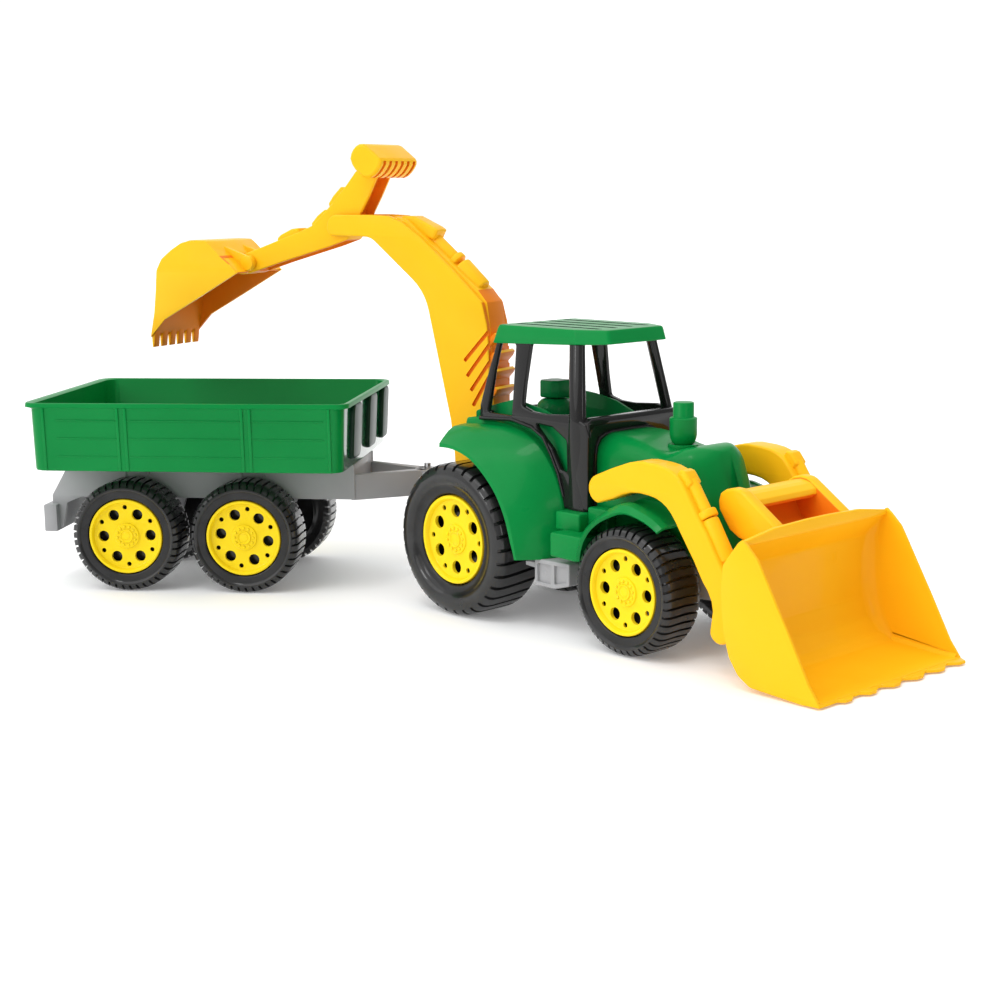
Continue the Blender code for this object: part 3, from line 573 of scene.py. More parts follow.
FRONT_TYRE = [
    (41.6, 17.5, 0, 0, 1), (41.8, 20.8, 0, 0, 1), (43.0, 21.6, 0, 0, 1), (49.4, 22.2, 0, 0, 1),
    (50.4, 23.2, 0, 0, 0), (51.8, 24.0, 0, 0, 0), (53.2, 23.8, 0, 0, 0), (54.0, 23.0, 0.8, 0.04, 0),
    (55.8, 22.2, 2.6, 0.12, 0), (57.8, 20.6, 3.2, 0.3, 0), (59.4, 17.8, 3.4, 0.6, 0), (60.0, 14.0, 3.4, 0.8, 0),
    (60.0, 7.0, 2.8, 0.95, 0), (60.0, 0.0, 2.8, 1.1, 0), (60.0, -7.0, 2.8, 0.95, 0), (60.0, -14.0, 2.8, 0.8, 0),
    (59.6, -17.4, 2.6, 0.6, 0), (58.2, -20.0, 2.2, 0.3, 0), (56.6, -21.0, 1.6, 0.12, 0), (55.3, -21.6, 0.5, 0.05, 0),
    (52.6, -23.0, 0, 0, 0), (48.0, -21.3, 0, 0, 1), (41.6, -18.5, 0, 0, 1), (39.6, -17.0, 0, 0, 0), (38.4, 0.0, 0, 0, 0),
    (12.0, 1.0, 0, 0, 0), (11.0, -18.0, 0, 0, 0), (3.4, -18.5, 0, 0, 0), (3.4, 4.5, 0, 0, 0), (39.6, 5.0, 0, 0, 0), (41.5, 12.0, 0, 0, 0)]


def rim_mesh(R, w, name):
    """Dished disc with two rings of holes, a boss with dots and a hub."""
    s = R / 40.3
    prof = [(0.0, w - 6.4), (3.6 * s, w - 6.4), (4.4 * s, w - 6.9), (5.6 * s, w - 6.9), (6.2 * s, w - 6.2),
            (7.0 * s, w - 6.0), (7.6 * s, w - 7.0), (12.2 * s, w - 7.2), (13.2 * s, w - 7.4), (13.9 * s, w - 8.8),
            (15.0 * s, w - 9.2), (0.84 * R, w - 8.6), (0.88 * R, w - 7.6), (0.905 * R, w - 4.6), (0.925 * R, w - 3.5),
            (0.955 * R, w - 3.2), (0.985 * R, w - 3.6), (R, w - 5.0), (R, w - 13.0), (R - 2.6, w - 13.0),
            (R - 2.6, w - 11.0), (0.86 * R, w - 10.8), (15.0 * s, w - 11.0), (9.0, w - 12.0), (9.0, w - 15.0), (0.0, w - 15.0)]
    ob = turned(prof, 96)
    tools = []
    for k in range(6):
        a = math.radians(60 * k)
        x, y = 0.64 * R * math.cos(a), 0.64 * R * math.sin(a)
        tools.append(rod((x, y, w - 14), (x, y, w), 0.147 * R, 28))
        a = math.radians(60 * k + 30)
        x, y = 0.765 * R * math.cos(a), 0.765 * R * math.sin(a)
        tools.append(rod((x, y, w - 14), (x, y, w), 0.062 * R, 18))
    ob = boolean(ob, tools)
    dots = []
    for k in range(12):
        a = math.radians(30 * k + 8)
        bm = bmesh.new()
        bmesh.ops.create_uvsphere(bm, u_segments=12, v_segments=8, radius=1.5 * s * MM)
        bmesh.ops.transform(bm, matrix=Matrix.Translation(Vector((0.25 * R * math.cos(a), 0.25 * R * math.sin(a), w - 7.1)) * MM)
                            @ Matrix.Diagonal((1, 1, 0.9, 1)), verts=bm.verts)
        dots.append(put(bm, "dot"))
    # short collars behind the big holes
    for k in range(6):
        a = math.radians(60 * k)
        x, y = 0.64 * R * math.cos(a), 0.64 * R * math.sin(a)
        collar = turned([(0.147 * R, w - 9.2), (0.147 * R, w - 12.6), (0.147 * R + 1.4, w - 12.6),
                         (0.147 * R + 1.4, w - 9.6)], 24, True)
        collar.data.transform(Matrix.Translation((x * MM, y * MM, 0)))
        dots.append(collar)
    ob = joined(ob, *dots)
    shade(ob, 30)
    mesh = ob.data
    mesh.name = name
    bpy.data.objects.remove(ob)
    return mesh


TYRES = {"rear": tyre_mesh(REAR_TYRE, 34, 0.3, 0.17, "tyre_rear"), "front": tyre_mesh(FRONT_TYRE, 44, 0.28, 0.22, "tyre_front")}
RIMS = {"rear": rim_mesh(45.2, 32.2, "rim_rear"), "front": rim_mesh(40.7, 24.8, "rim_front")}


def wheel(tag, base, x, y_face, half, r, kind, phase, side):
    at = base @ Matrix.Translation(Vector((x, side * (y_face - half), r)) * MM) @ Matrix.Rotation(-side * math.pi / 2, 4, 'X')
    at = at @ Matrix.Rotation(math.radians(phase), 4, 'Z')
    word = "right" if side < 0 else "left"
    body = f"{tag}_wheel_{word}"
    give(put(TYRES[kind].copy(), "t"), f"{tag}_tyre_{word}_look", body, (M_TYRE, M_SIDE), (f"{tag}_tyre_{word}",), at, 28)
    give(put(RIMS[kind].copy(), "r"), f"{tag}_rim_{word}_look", body, M_RIM, (f"{tag}_rim_{word}",), at, 30)


for side in (-1, 1):
    wheel("rear", T, 0, 101, 30, 77.5, "rear", 30, side)
    wheel("front", T, 228.8, 98, 23, 60, "front", 0, side)
    wheel("trailer_rear", H, X0 - 65, 100, 23, 60, "front", 2, side)
    wheel("trailer_front", H, X0 + 65, 100, 23, 60, "front", -8, side)

for n in ("rear_axle", "front_axle", "trailer_rear_axle", "trailer_front_axle", "loader_pivot_pin_right", "loader_pivot_pin_left",
          "bucket_pin_right", "bucket_pin_left", "dipper_pin", "scoop_pin", "swing_pin", "hitch_pin"):
    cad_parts[n].data.materials.clear()
    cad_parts[n].data.materials.append(M_STEEL)
for n in ("digger_base",):
    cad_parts[n].data.materials.clear()
    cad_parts[n].data.materials.append(M_GREY)
    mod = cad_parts[n].modifiers.new("edge", 'BEVEL')
    mod.width = 0.8 * MM
    mod.segments = 2
    mod.limit_method = 'ANGLE'

# ------------------------------------------------------------------- chassis
keel = plate(rounded([(-66, 60), (-66, 85.8), (268, 85.8), (290, 78), (290, 52), (200, 46), (150, 50), (20, 58)], 3), -36, 36, 1.5, 2)
keel = boolean(keel, [box(30, 190, -31, 31, 40, 82), box(206, 214, -31, 31, 40, 82), box(244, 280, -31, 31, 40, 74),
                      box(-55, -12, -31, 31, 40, 80), rod((0, -60, 77.5), (0, 60, 77.5), 3.5, 24),
                      rod((228.8, -60, 60), (228.8, 60, 60), 3.5, 24)])
tongue = plan(rounded([(-60, -24), (-60, 24), (-150, 19)] + [(-152 + 19 * math.cos(math.radians(k)), 19 * math.sin(math.radians(k)))
                                                            for k in range(100, 261, 10)] + [(-150, -19)], 0), 79.2, 85.4, 1.0, 2)
tongue = boolean(tongue, [rod((-152, 0, 60), (-152, 0, 100), 4.5, 32)])
STEP = [(98.5, 44.0), (98.5, 70.5), (146.0, 71.5), (146.0, 49.5), (126, 44.0)]
step = plate(rounded(STEP, 2.5), -80.5, -33, 1.2, 3)
panels = [plate(rounded([(102.5, 48.2), (102.5, 66.6), (121.2, 67.0), (121.2, 47.6)], 1.5), -90, -77.6, 0),
          plate(rounded([(125.8, 48.4), (125.8, 67.0), (142.0, 67.4), (142.0, 52.6)], 1.5), -90, -77.6, 0)]
step = bev(boolean(step, panels), 0.5, 2, 40)
flange = plate(rounded([(84.5, 61.5), (84.5, 65.8), (100, 66.4), (100, 60.4)], 1.2), -79, -34, 1.0, 2)
lugs = joined(rod((110, -77.8, 57.5), (110, -76.4, 57.5), 3.0, 20, None, 0.5))
give(joined(keel, tongue, both(joined(step, flange, lugs))), "chassis_look", "tractor", M_GREY, ("chassis",), T)

# --------------------------------------------------------------- body shell
BB = 86.4
HOOD = [(137, 46.6, 193, 24), (150, 46.6, 193.5, 24), (165, 46.6, 193.4, 23), (180, 46.2, 192, 22), (195, 45.6, 188.4, 20),
        (208, 45, 184.6, 19), (220, 44.8, 182.0, 18), (229, 44.6, 182.6, 18), (237, 44.0, 185.4, 18), (243.5, 42.8, 187.2, 18),
        (249, 41.0, 188.2, 18), (254, 38.4, 188.6, 18), (258.4, 35.0, 188.4, 18), (262, 30.8, 187.8, 17), (264.8, 25.8, 186.8, 15),
        (266.8, 20.0, 185.6, 13), (268, 13.6, 184.4, 10), (268.6, 7.0, 183.4, 6)]


def hood_ring(x, half, top, bottom, r):
    lean = max(0.0, min(1.0, (x - 230) / 30.0))
    pts = []
    for cy, cz, a0 in ((half - r, top - r, 0), (-half + r, top - r, 90)):
        pts += [(x, cy + r * math.cos(math.radians(a0 + 10 * k)), cz + r * math.sin(math.radians(a0 + 10 * k))) for k in range(10)]
    for k, z in enumerate((160, 148, 136, 120, bottom)):
        pts.append((x, -half, z))
    for z in (bottom, 120, 136, 148, 160):
        pts.append((x, half, z))
    return [(px + lean * 0.36 * (184 - max(pz, 132)) if pz < 184 else px, py, pz) for px, py, pz in pts]


hood = loft([hood_ring(x, h, t, BB, r) for x, h, t, r in HOOD])
give(hood, "hood_shell", "tractor", M_GREEN, ("body_shell",), T, 40)
seat_ring = turned([(12.6, 186.4), (14.4, 186.0), (14.6, 184.5), (14.0, 181.0), (7.4, 181.0), (7.4, 185.0)], 40, True)
seat_ring.data.transform(Matrix.Translation((0.218, 0, 0)))
give(seat_ring, "exhaust_seat", "tractor", M_GREEN, (), T)

tub = plate(rounded([(-14, BB), (-14, 203), (20, 213), (41, 218.4), (55.5, 217), (84, 212), (110, 202), (139, 184), (139, BB)], 4), -52.6, -49.6, 0.8, 2)
walls = both(tub)
walls = joined(walls, box(-14, -11, -52, 52, BB, 198, 0.8), box(-13, 138.5, -51, 51, 114, 118, 0.8),
               box(135.2, 138.4, -51, 51, BB, 172, 0.8))
give(walls, "cab_tub", "tractor", M_DEEP, (), T)

REAR_Y = (51, 59, 60.6, 62.5, 72, 80, 88, 95, 101.5, 102.3)
REAR_KEYS = [(99, (120, 120, 118.6, 114.5, 114, 113, 109, 103.5, 98, 94)), (84, (120.5, 120.5, 119.2, 116, 115.5, 113.5, 108.5, 101.5, 95.5, 92.5)),
             (70, (124.5, 124.5, 124, 122.5, 118.5, 113.5, 107.5, 100.5, 93.5, 90.5)), (54, (130.5, 130.5, 130, 128.5, 122, 115.5, 108, 99.5, 91, 87.5)),
             (40, (130.5, 130.5, 130, 128.5, 122, 115, 107, 98.5, 90, 86.5)), (25, (127, 127, 126.5, 125, 119.5, 113, 106, 98, 90, 86)),
             (8, (121, 121, 120.5, 119, 114, 109, 103, 97, 91, 87.5)), (-4, (118, 118, 117.5, 116, 112, 107.5, 102.5, 98.5, 95, 93))]
FRONT_Y = (46, 54, 56, 81, 83, 88, 91, 95, 95.5)
FRONT_KEYS = [(160.7, (84, 84, 84, 74, 73, 70.5, 68, 63, 62.3)), (143, (82, 82, 82, 78, 77, 73.5, 71, 67.5, 67)),
              (131.6, (80, 80, 80, 77, 76.5, 73.5, 72, 69.5, 69)), (117.4, (79, 79, 79, 77, 76.5, 75, 73.5, 71, 70.5)),
              (106, (80, 80, 80, 79, 79, 78, 76, 72.2, 71.6)), (91, (84, 84, 80.5, 80.5, 82.5, 82, 80.5, 75.4, 74.6)),
              (77.5, (86, 86, 81, 80, 80.5, 80, 79, 75, 74)), (62, (88, 88, 81, 79.5, 80, 79.5, 78.5, 75, 74)),
              (56, (88, 88, 81, 79, 79.5, 79, 78, 75, 74))]
fenders = both(joined(fender(REAR_KEYS, REAR_Y, 0, 77.5, 56), fender(FRONT_KEYS, FRONT_Y, 228.8, 60, 48)))
give(fenders, "fenders", "tractor", M_GREEN, (), T, 18)

inner = plate(rounded([(-14, 88), (-14, 194), (30, 196), (60, 188), (78, 174), (92, 155), (106, 129), (118, 118), (118, 88)], 5), -53.4, -50.5, 0.8, 2)
SILL = [(131, 79.3), (134.6, 79.0), (163, 78), (167, 79.7), (172, 93.7), (174.4, 102.4), (131, 102.4)]
sills = joined(inner, plate(rounded(SILL, 2.5), -92, -46, 2.4, 3), box(119, 151, -72, -46, 101, 119.0, 2.2, 3),
               box(150, 176, -60, -46, 88, 125, 2.5, 3), box(112, 134, -60, -46, 76, 104, 2.0, 3))
boss = rod((191, -62.2, 150.5), (191, -40, 150.5), 11, 32, None, 0.8)
give(both(joined(sills, boss)), "sills_and_steps", "tractor", M_GREEN, (), T)

# ------------------------------------------------------------------ exhaust
stack = turned([(0, 226), (8.2, 226), (9.4, 225.6), (9.9, 224.6), (9.9, 212.6), (10.3, 211.8), (12.2, 211.4), (13.0, 210.6),
                (13.0, 195), (12.4, 192.0), (10.6, 187.4), (8.6, 185.4), (7.0, 184.9), (7.0, 174), (0, 174)], 48)
give(stack, "exhaust_look", "tractor", M_GREEN, ("exhaust_stack",), T @ Matrix.Translation((0.218, 0, 0)), 40)

# ---------------------------------------------------------------- cab frame
FIN, FOUT = 53.4, 59.4
win1 = rounded([(10.4, 204.8), (21, 248), (29.6, 273.4), (52.2, 274.0), (48.5, 236), (45.6, 204.8)], 2.5)
win3 = rounded([(76, 200), (102, 198), (121, 186.6), (122, 155), (114, 156.5), (102, 176.4)], 3)
out = rounded([(-1.3, 195.7), (-1, 199), (0, 212), (12, 244), (25.6, 276.6), (132, 279.8), (132, 277.4), (73.4, 275.4), (64.4, 237), (60.5, 215), (74, 211), (93, 210),
               (123, 212.0), (136, 209), (147, 204), (150, 192), (150, 119.5), (118, 119.5), (116, 127), (108, 151.6), (98.6, 169), (88, 185), (73.6, 193), (46.8, 198.3)], 3)
side_frame = plate(out, -FOUT, -FIN, 1.8, 3, (win1, win3))
column = []
for z, cx, cy, half, thick, turn in ((119.6, 134.4, 55.2, 14.4, 5.6, 0), (150, 134.6, 55.4, 13.2, 5.8, 2), (180, 134.4, 56.0, 11.4, 5.6, 8), (198, 134.0, 56.6, 9.4, 5.2, 16),
                                     (210, 134.0, 56.8, 8.4, 4.6, 20), (245, 134.4, 56.8, 8.2, 4.6, 20), (277.4, 134.8, 56.8, 8.2, 4.6, 20)):
    ring = []
    for k in range(24):
        a = 2 * math.pi * k / 24
        u, v = half * math.cos(a), thick * math.sin(a)
        t = math.radians(turn)
        ring.append((cx + u * math.cos(t) - v * math.sin(t), -cy + u * math.sin(t) + v * math.cos(t), z))
    column.append(ring)
posts = [loft(column)]
belt = plate(rounded([(-1, 196.5), (46.8, 199.5), (74, 194.2), (89, 186), (99.8, 170), (109.2, 152.4), (117, 130), (119.4, 131), (111.6, 154), (102, 172),
                      (91, 188.6), (75, 197.2), (47, 202.8), (-0.5, 200.4)], 1), -60.8, -56, 1.0, 2)
lower = [(46.6, 120.5), (46.6, 163), (45.6, 174), (43.0, 182), (37.4, 188.6), (30.4, 191.8), (22.0, 193.4), (0.0, 194.0)]
lower = lower + [(-y, z) for y, z in lower[-2::-1]]
upper = [(-58.0, 120.5), (-58.0, 206), (-53, 210), (53, 210), (58.0, 206), (58.0, 120.5)]
cowl = cross(upper + lower, 139.6, 148.6, 1.6, 3)
bead = []
for (ya, za), (yb, zb) in zip(lower, lower[1:]):
    bead.append(rod((148.4, ya, za), (148.4, yb, zb), 2.0, 12))
for y, z in lower[1:-1]:
    bm = bmesh.new()
    bmesh.ops.create_uvsphere(bm, u_segments=12, v_segments=8, radius=2.0 * MM)
    bmesh.ops.translate(bm, verts=bm.verts, vec=Vector((148.4, y, z)) * MM)
    bead.append(put(bm, "knot"))
cab = joined(both(joined(side_frame, belt, *posts)), cowl, *bead, box(-0.6, 5.4, -57.5, 57.5, 198, 205.5, 1.5),
             box(25, 30.4, -56, 56, 273.4, 276.4, 1.2), box(128, 137.4, -54, 54, 277.0, 280.0, 1.2))
for v in cab.data.vertices:
    low = max(0.0, min(1.0, (v.co.z / MM - 150.0) / 55.0))
    up = max(0.0, v.co.z / MM - 205.0) / 72.0
    rim = max(0.0, min(1.0, (abs(v.co.y) / MM - 40.0) / 12.0))
    grow = 1.0 + 0.125 * low - 0.21 * up
    v.co.x += (grow - 1.0) * 56.5 * 1.075 * rim * MM
    v.co.y *= grow
give(cab, "cab_frame_look", "tractor", M_BLACK, ("cab_frame",), T)

# ----------------------------------------------------------------- cab roof
EAVES = rounded([(13.7, -55.4), (130, -55.4), (161, -40), (161, 40), (130, 55.4), (13.7, 55.4)], 5.0, 5)
CREST = rounded([(20.6, -54.0), (128, -54.0), (157.5, -39.0), (157.5, 39.0), (128, 54.0), (20.6, 54.0)], 5.0, 5)


def roof_ring(t, s, ins):
    """Between eaves (0) and crest (1): t in plan, s in height, drawn in by ins."""
    ring = []
    for (xa, ya), (xb, yb) in zip(EAVES, CREST):
        x, y = xa + (xb - xa) * t, ya + (yb - ya) * t
        z0 = 273.0 + (xa - 13.7) * 5.5 / 147.3
        ring.append((86 + (x - 86) * (1 - ins / 68.0), y * (1 - ins / 54.0), z0 + (292.0 - z0) * s))
    return ring


roof = loft([roof_ring(0, 0.03, 5.0), roof_ring(0, 0.0, 1.2), roof_ring(0, 0.02, 0.3), roof_ring(0, 0.07, 0.0), roof_ring(0.8, 0.8, 0.0),
             roof_ring(0.95, 0.92, 0.2), roof_ring(1.0, 0.98, 0.8), roof_ring(1.0, 1.0, 2.2)])
GROOVES = (-33, -11, 11, 33)
roof = boolean(roof, [plan(rounded([(28, y - 3.4), (142, y - 3.4), (142, y + 3.4), (28, y + 3.4)], 2.6), 287.4, 300, 0) for y in GROOVES])
# Painted shade: the grooves' floors and walls get the dark green painted-shade material.
mark(roof, lambda c, n: 27 < c.x < 143 and c.z < 291.6 and c.z > 286 and min(abs(c.y - y) for y in GROOVES) < 3.6)
give(roof, "cab_roof_look", "tractor", (M_GREEN, M_SHADE), ("cab_roof",), T, 28)

# --------------------------------------------------------------------- seat
HEAD = [(33.8, -7.7), (39.3, -13.2), (54.7, -13.2), (60.2, -7.7), (60.2, 7.7), (54.7, 13.2), (39.3, 13.2), (33.8, 7.7)]
back_rest = turned([(0, 217.0), (8, 216.6), (13.5, 214.8), (17.0, 211.4), (18.6, 206.5), (18.7, 200), (18.7, 152), (0, 152)], 48)
back_rest.data.transform(Matrix.Translation((0.047, 0, 0)))
seat = joined(plan(rounded([(22, -24), (70, -24), (70, 24), (22, 24)], 8, 5), 118.6, 154, 4, 4), back_rest,
              plan(rounded(HEAD, 1), 217, 234.4, 2, 3), plate(rounded([(26, 150), (28, 196), (40, 204), (52, 196), (58, 150)], 6), -22, 22, 4, 3))
give(seat, "driver_seat_look", "tractor", M_DEEP, ("driver_seat",), T)

# ------------------------------------------------------------------- loader
ARM_IN, ARM_OUT = 63.0, 87.5


def ahead(pts):
    """The upper part of the arm lies further forward than its lower end."""
    return [(x + 9.0 * max(0.0, min(1.0, (z - 38.0) / 46.0)), z) for x, z in pts]


ARM = (arc(182, 150.5, 13.5, 110, 262, 10)
       + [(200, 143.5), (211, 148.6), (221, 151.5), (232, 152.4), (243.5, 151.6), (252, 150), (258.7, 147.2), (264.5, 143.6), (269.5, 139),
          (275, 132), (280.5, 123.6), (289, 111), (297, 99.6), (302.6, 90), (308, 82), (315, 75), (321, 66.5), (324.2, 58), (325, 41)]
       + arc(336.5, 41, 11.5, 180, 360, 10)
       + [(348, 58), (345, 70), (340, 79), (334, 90.5), (329, 98.6), (324, 106), (319.5, 113.4), (315, 121), (310, 128.6), (304.6, 135.6), (299.4, 143),
          (294.6, 150.6), (290, 157.6), (286.4, 163), (282.4, 168.2), (277, 173.4), (270.6, 177.2), (262.6, 179.8),
          (252, 181.2), (236, 182), (228, 181.2), (219, 179.2), (207, 175), (196, 171)])
arm = plate(ahead(ARM), -ARM_OUT, -ARM_IN, 2.6, 4)
head = plate(rounded(ahead([(272, 172), (277, 179.0), (283, 177.6), (290.5, 168), (284, 160)]), 2.5), -ARM_OUT + 4, -ARM_IN - 5, 2.4, 4)
MID = -ARM_OUT + 11.8
barrel = rod((314.5, MID, 137), (336, MID, 102), 8.0, 28, None, 2.2, 3)
collar = rod((310.2, MID, 143.6), (314.2, MID, 137.6), 9.2, 28, None, 1.4, 3)
arm = joined(arm, head, rod((293, MID, 169), (312, MID, 141), 5.8, 28), barrel, collar)
for side, word in ((-1, "right"), (1, "left")):
    ob = put(arm.data.copy(), "arm") if side < 0 else flipped(arm)
    give(ob, f"loader_arm_{word}_look", "loader_arms", M_YELLOW, (f"loader_arm_{word}",), T, 38)
drop(arm)

BUCKET = [(371, 128), (375.4, 131.4), (381, 127), (391.6, 116.6), (397.6, 106.4), (426.6, 55.8), (447, 18.5), (454.6, 8.6), (459, 2.2), (440, 1.5),
          (386, 5), (373, 13), (363, 27), (357, 46), (354.5, 66), (353.5, 88), (355, 107)]
BUCKET_IN = [(374.5, 140), (400, 150), (500, 2), (461, 5.0), (440, 4.5), (387.5, 8.5), (375.5, 16), (366, 29), (360.2, 47), (357.7, 66),
             (356.8, 88), (358.2, 105), (373.2, 124.5)]
only = {3: 8, 4: 10, 10: 12, 11: 14, 12: 14, 13: 14, 14: 14, 15: 12, 16: 10}
only_in = {5: 12, 6: 14, 7: 14, 8: 14, 9: 14, 10: 12, 11: 10}
shell = plate(rounded(BUCKET, 0, 4, only), -106, 106, 0)
shell = boolean(shell, [plate(rounded(BUCKET_IN, 0, 4, only_in), -103, 103, 0)])
shell = bev(shell, 0.9, 2, 40)
parts = [shell, cross(rounded([(-104.5, 125), (-104.5, 129.6), (-62, 135.6), (-16, 137), (16, 137), (62, 135.6), (104.5, 129.6), (104.5, 125)], 4), 371.6, 376.4, 1.2, 3)]
edge = [(458.2, -104.6), (457.4, -102), (451.5, -88)]
for k in range(6):
    y = -70.6 + 33.4 * k
    edge += [(451.5 + min(k, 3) * 2.6, y - 15.5), (463.4 + min(k, 3), y - 5.0), (463.8 + min(k, 3), y + 3.0), (457 + min(k, 3), y + 15.5)]
edge = [(x, min(y, 104.6)) for x, y in edge if y < 106.1 or x > 460]
parts.append(plan(rounded(edge + [(459.5, 104.6), (440, 104.6), (440, -104.6)], 1.2), 1.5, 4.4, 0.8, 2))
for side in (-1, 1):
    rings = []
    for z, x, w in ((7, 389, 3), (10, 383.5, 8), (16, 375, 13), (29, 365.6, 16), (47, 359.8, 17), (66, 357.2, 17), (88, 356.4, 16), (104, 357.6, 12), (115, 364.5, 7), (124, 371.8, 2)):
        rings.append([(x - 1.5, side * (103.4 - w), z)] + [(x - 0.3 + w * (1 - math.cos(math.radians(t))), side * (103.4 - w * (1 - math.sin(math.radians(t)))), z)
                                                           for t in (0, 22, 45, 68, 90)] + [(x + w, side * 104.2, z), (x - 1.5, side * 104.2, z)])
    parts.append(loft(rings))
    parts.append(loft([[(x, side * 103.4, z - 0.6), (x, side * 99.6, z - 0.15), (x, side * 103.4, z + 3.4)]
                       for x, z in ((386, 8.8), (400, 7.7), (420, 6.1), (440, 4.6), (455, 4.9))]))
EAR = [(345, 66), (356, 70), (358, 106), (371, 127.5), (373.5, 133.4), (334.4, 160.6), (330, 162.4), (323, 163.0), (314.4, 161.0), (308.2, 157), (306, 150),
       (307, 142), (319, 125), (328, 119.6), (342, 115), (341, 92)]
# Painted shade: the ears' inner faces, the bar's underside and the web's front faces get the orange painted-shade
# material.
for side in (-1, 1):
    a, b = sorted((side * 42, side * 54.8))
    ear = plate(rounded(EAR, 3.5), a, b, 3.2, 4)
    parts.append(mark(ear, lambda c, n: n.y * side < -0.9 and c.z > 112))
    parts.append(plate([(356, 40), (357, 66)] + arc(336, 52, 9.5, 60, 300, 12), *sorted((side * 42, side * 53)), 1.2, 2))
bar = plate(rounded([(309.4, 145), (308.4, 150), (310.6, 155.0), (315.4, 158.4), (323.6, 160), (330.7, 159), (335, 157.4), (341, 153), (342, 148.4), (338, 144.5)], 2),
            -45, 45, 0)
parts.append(mark(bar, lambda c, n: n.z < -0.6))
web = plate([(309.5, 150), (313.5, 150), (325, 126), (356, 112), (355, 108), (323, 122)], -43, 43, 0.8, 2)
parts.append(mark(web, lambda c, n: n.x > 0.2))
give(joined(*parts), "loader_bucket_look", "loader_bucket", (M_YELLOW, M_YELLOW_SHADE), ("loader_bucket",), T, 38)

# ------------------------------------------------------------------- digger
BOOM = ([(-30, 124.4), (-31, 150), (-35, 185), (-64.5, 319), (-131, 375.5), (-181, 376.5)] + arc(-173, 386, 13.0, 215, 100, 8)
        + [(-130, 398.6), (-108, 397.4), (-92, 391), (-69.5, 375.6), (-33.9, 345.2), (-5.1, 318), (4.4, 309), (10, 287), (11.6, 270), (12.4, 240), (12, 200), (22, 124.4)])
left = plate(rounded(BOOM, 0, 5, {3: 60, 4: 22, 16: 12, 17: 14, 20: 10, 21: 8}), -23, -15.4, 1.8, 3)
slots, gaps = [], []
for (xa, za), (xb, zb) in (((10.2, 277.6), (-17, 248.3)), ((11.1, 264.0), (-14.1, 232.4)), ((11.8, 246.5), (-9.7, 217.4)), ((9.5, 228.6), (-7.3, 201.7))):
    d = Vector((xa - xb, za - zb)).normalized()
    s = Vector((-d.y, d.x)) * 2.0
    p, q = Vector((xa, za)) + d * 14, Vector((xb, zb))
    gaps.append(rounded([(q.x - s.x, q.y - s.y), (p.x - s.x, p.y - s.y), (p.x + s.x, p.y + s.y), (q.x + s.x, q.y + s.y)], 1.6))
    slots.append(plate(gaps[-1], -30, -19.5, 0))
# Painted shade: faces looking into the louvre slots get the orange painted-shade material.
left = hollow_faces(boolean(left, slots), gaps, -23.1, -15)
BODY = [(-29, 126), (-30, 150), (-33, 185), (-56, 298), (-64, 322), (-128, 373), (-130, 394), (-104, 396.6), (-88, 393), (-62, 371), (-28, 342),
        (-3, 321.5), (7.4, 309), (10.6, 287), (12.4, 262), (13.4, 240), (14.4, 200), (20.6, 126)]
core = plate(rounded(BODY, 3), -16.5, 16.5, 1.5, 2)
# Painted shade: the right-facing faces of the core and of the side plates get the orange painted-shade material.
mark(core, lambda c, n: n.x > 0.55 and c.x > -4)
mark(left, lambda c, n: n.x > 0.8 and c.x > 2)
parts = [left, flipped(left), core]
parts += [plate(rounded([(-104, 392), (-98, 397), (-84, 397), (-60, 386), (-54.6, 382.4), (-60, 372), (-84, 380)], 2), -10.5, 10.5, 2.6, 4),
          rod((-66, 0, 374.5), (-36, 0, 348.5), 7.4, 28, None, 1.5), rod((-40.4, 0, 352.5), (-35.4, 0, 348.2), 10.4, 28, None, 1.4, 3),
          rod((-32.5, 0, 345.5), (-7.5, 0, 321.5), 10.8, 28, None, 2.4, 3)]
# Painted shade: all but the upward faces of each fin get the orange painted-shade material.
for k in range(4):
    z = 268 - 18.6 * k
    fin = plate(rounded([(4, z - 12), (18.4, z + 3.2), (20.2, z + 7.4), (17.4, z + 10.2), (2, z - 4)], 1.2), -20.0, 20.0, 1.2, 2)
    parts.append(mark(fin, lambda c, n: n.z < 0.55))
give(joined(*parts), "boom_look", "boom", (M_YELLOW, M_YELLOW_SHADE), ("boom",), S, 38)

DIP = [(-317, 337), (-318.6, 343), (-317, 349.6), (-308, 354.6), (-290, 360), (-262, 369.4), (-232, 379), (-212, 386.6), (-204, 393), (-197.4, 398.6), (-184.6, 410), (-176, 419.4),
       (-167.6, 427), (-153, 443.7), (-140, 453), (-124, 448), (-127, 436), (-136.4, 418.5), (-147, 401), (-156, 384), (-166, 371.8), (-188, 364.8), (-254.5, 346.8),
       (-295.3, 334.7), (-310, 333)]
arm_d = plate(rounded(DIP, 3), -14.6, 14.6, 1.5, 3)
UNDER = [(-290, 320), (-288, 342.0), (-254, 352), (-170, 376), (-160, 350)]
BEHIND = [(-118, 440), (-140, 436), (-158, 402), (-152, 385), (-110, 420)]
arm_d = boolean(arm_d, [plate(UNDER, -11.4, 11.4, 0), plate(BEHIND, -11.4, 11.4, 0)])
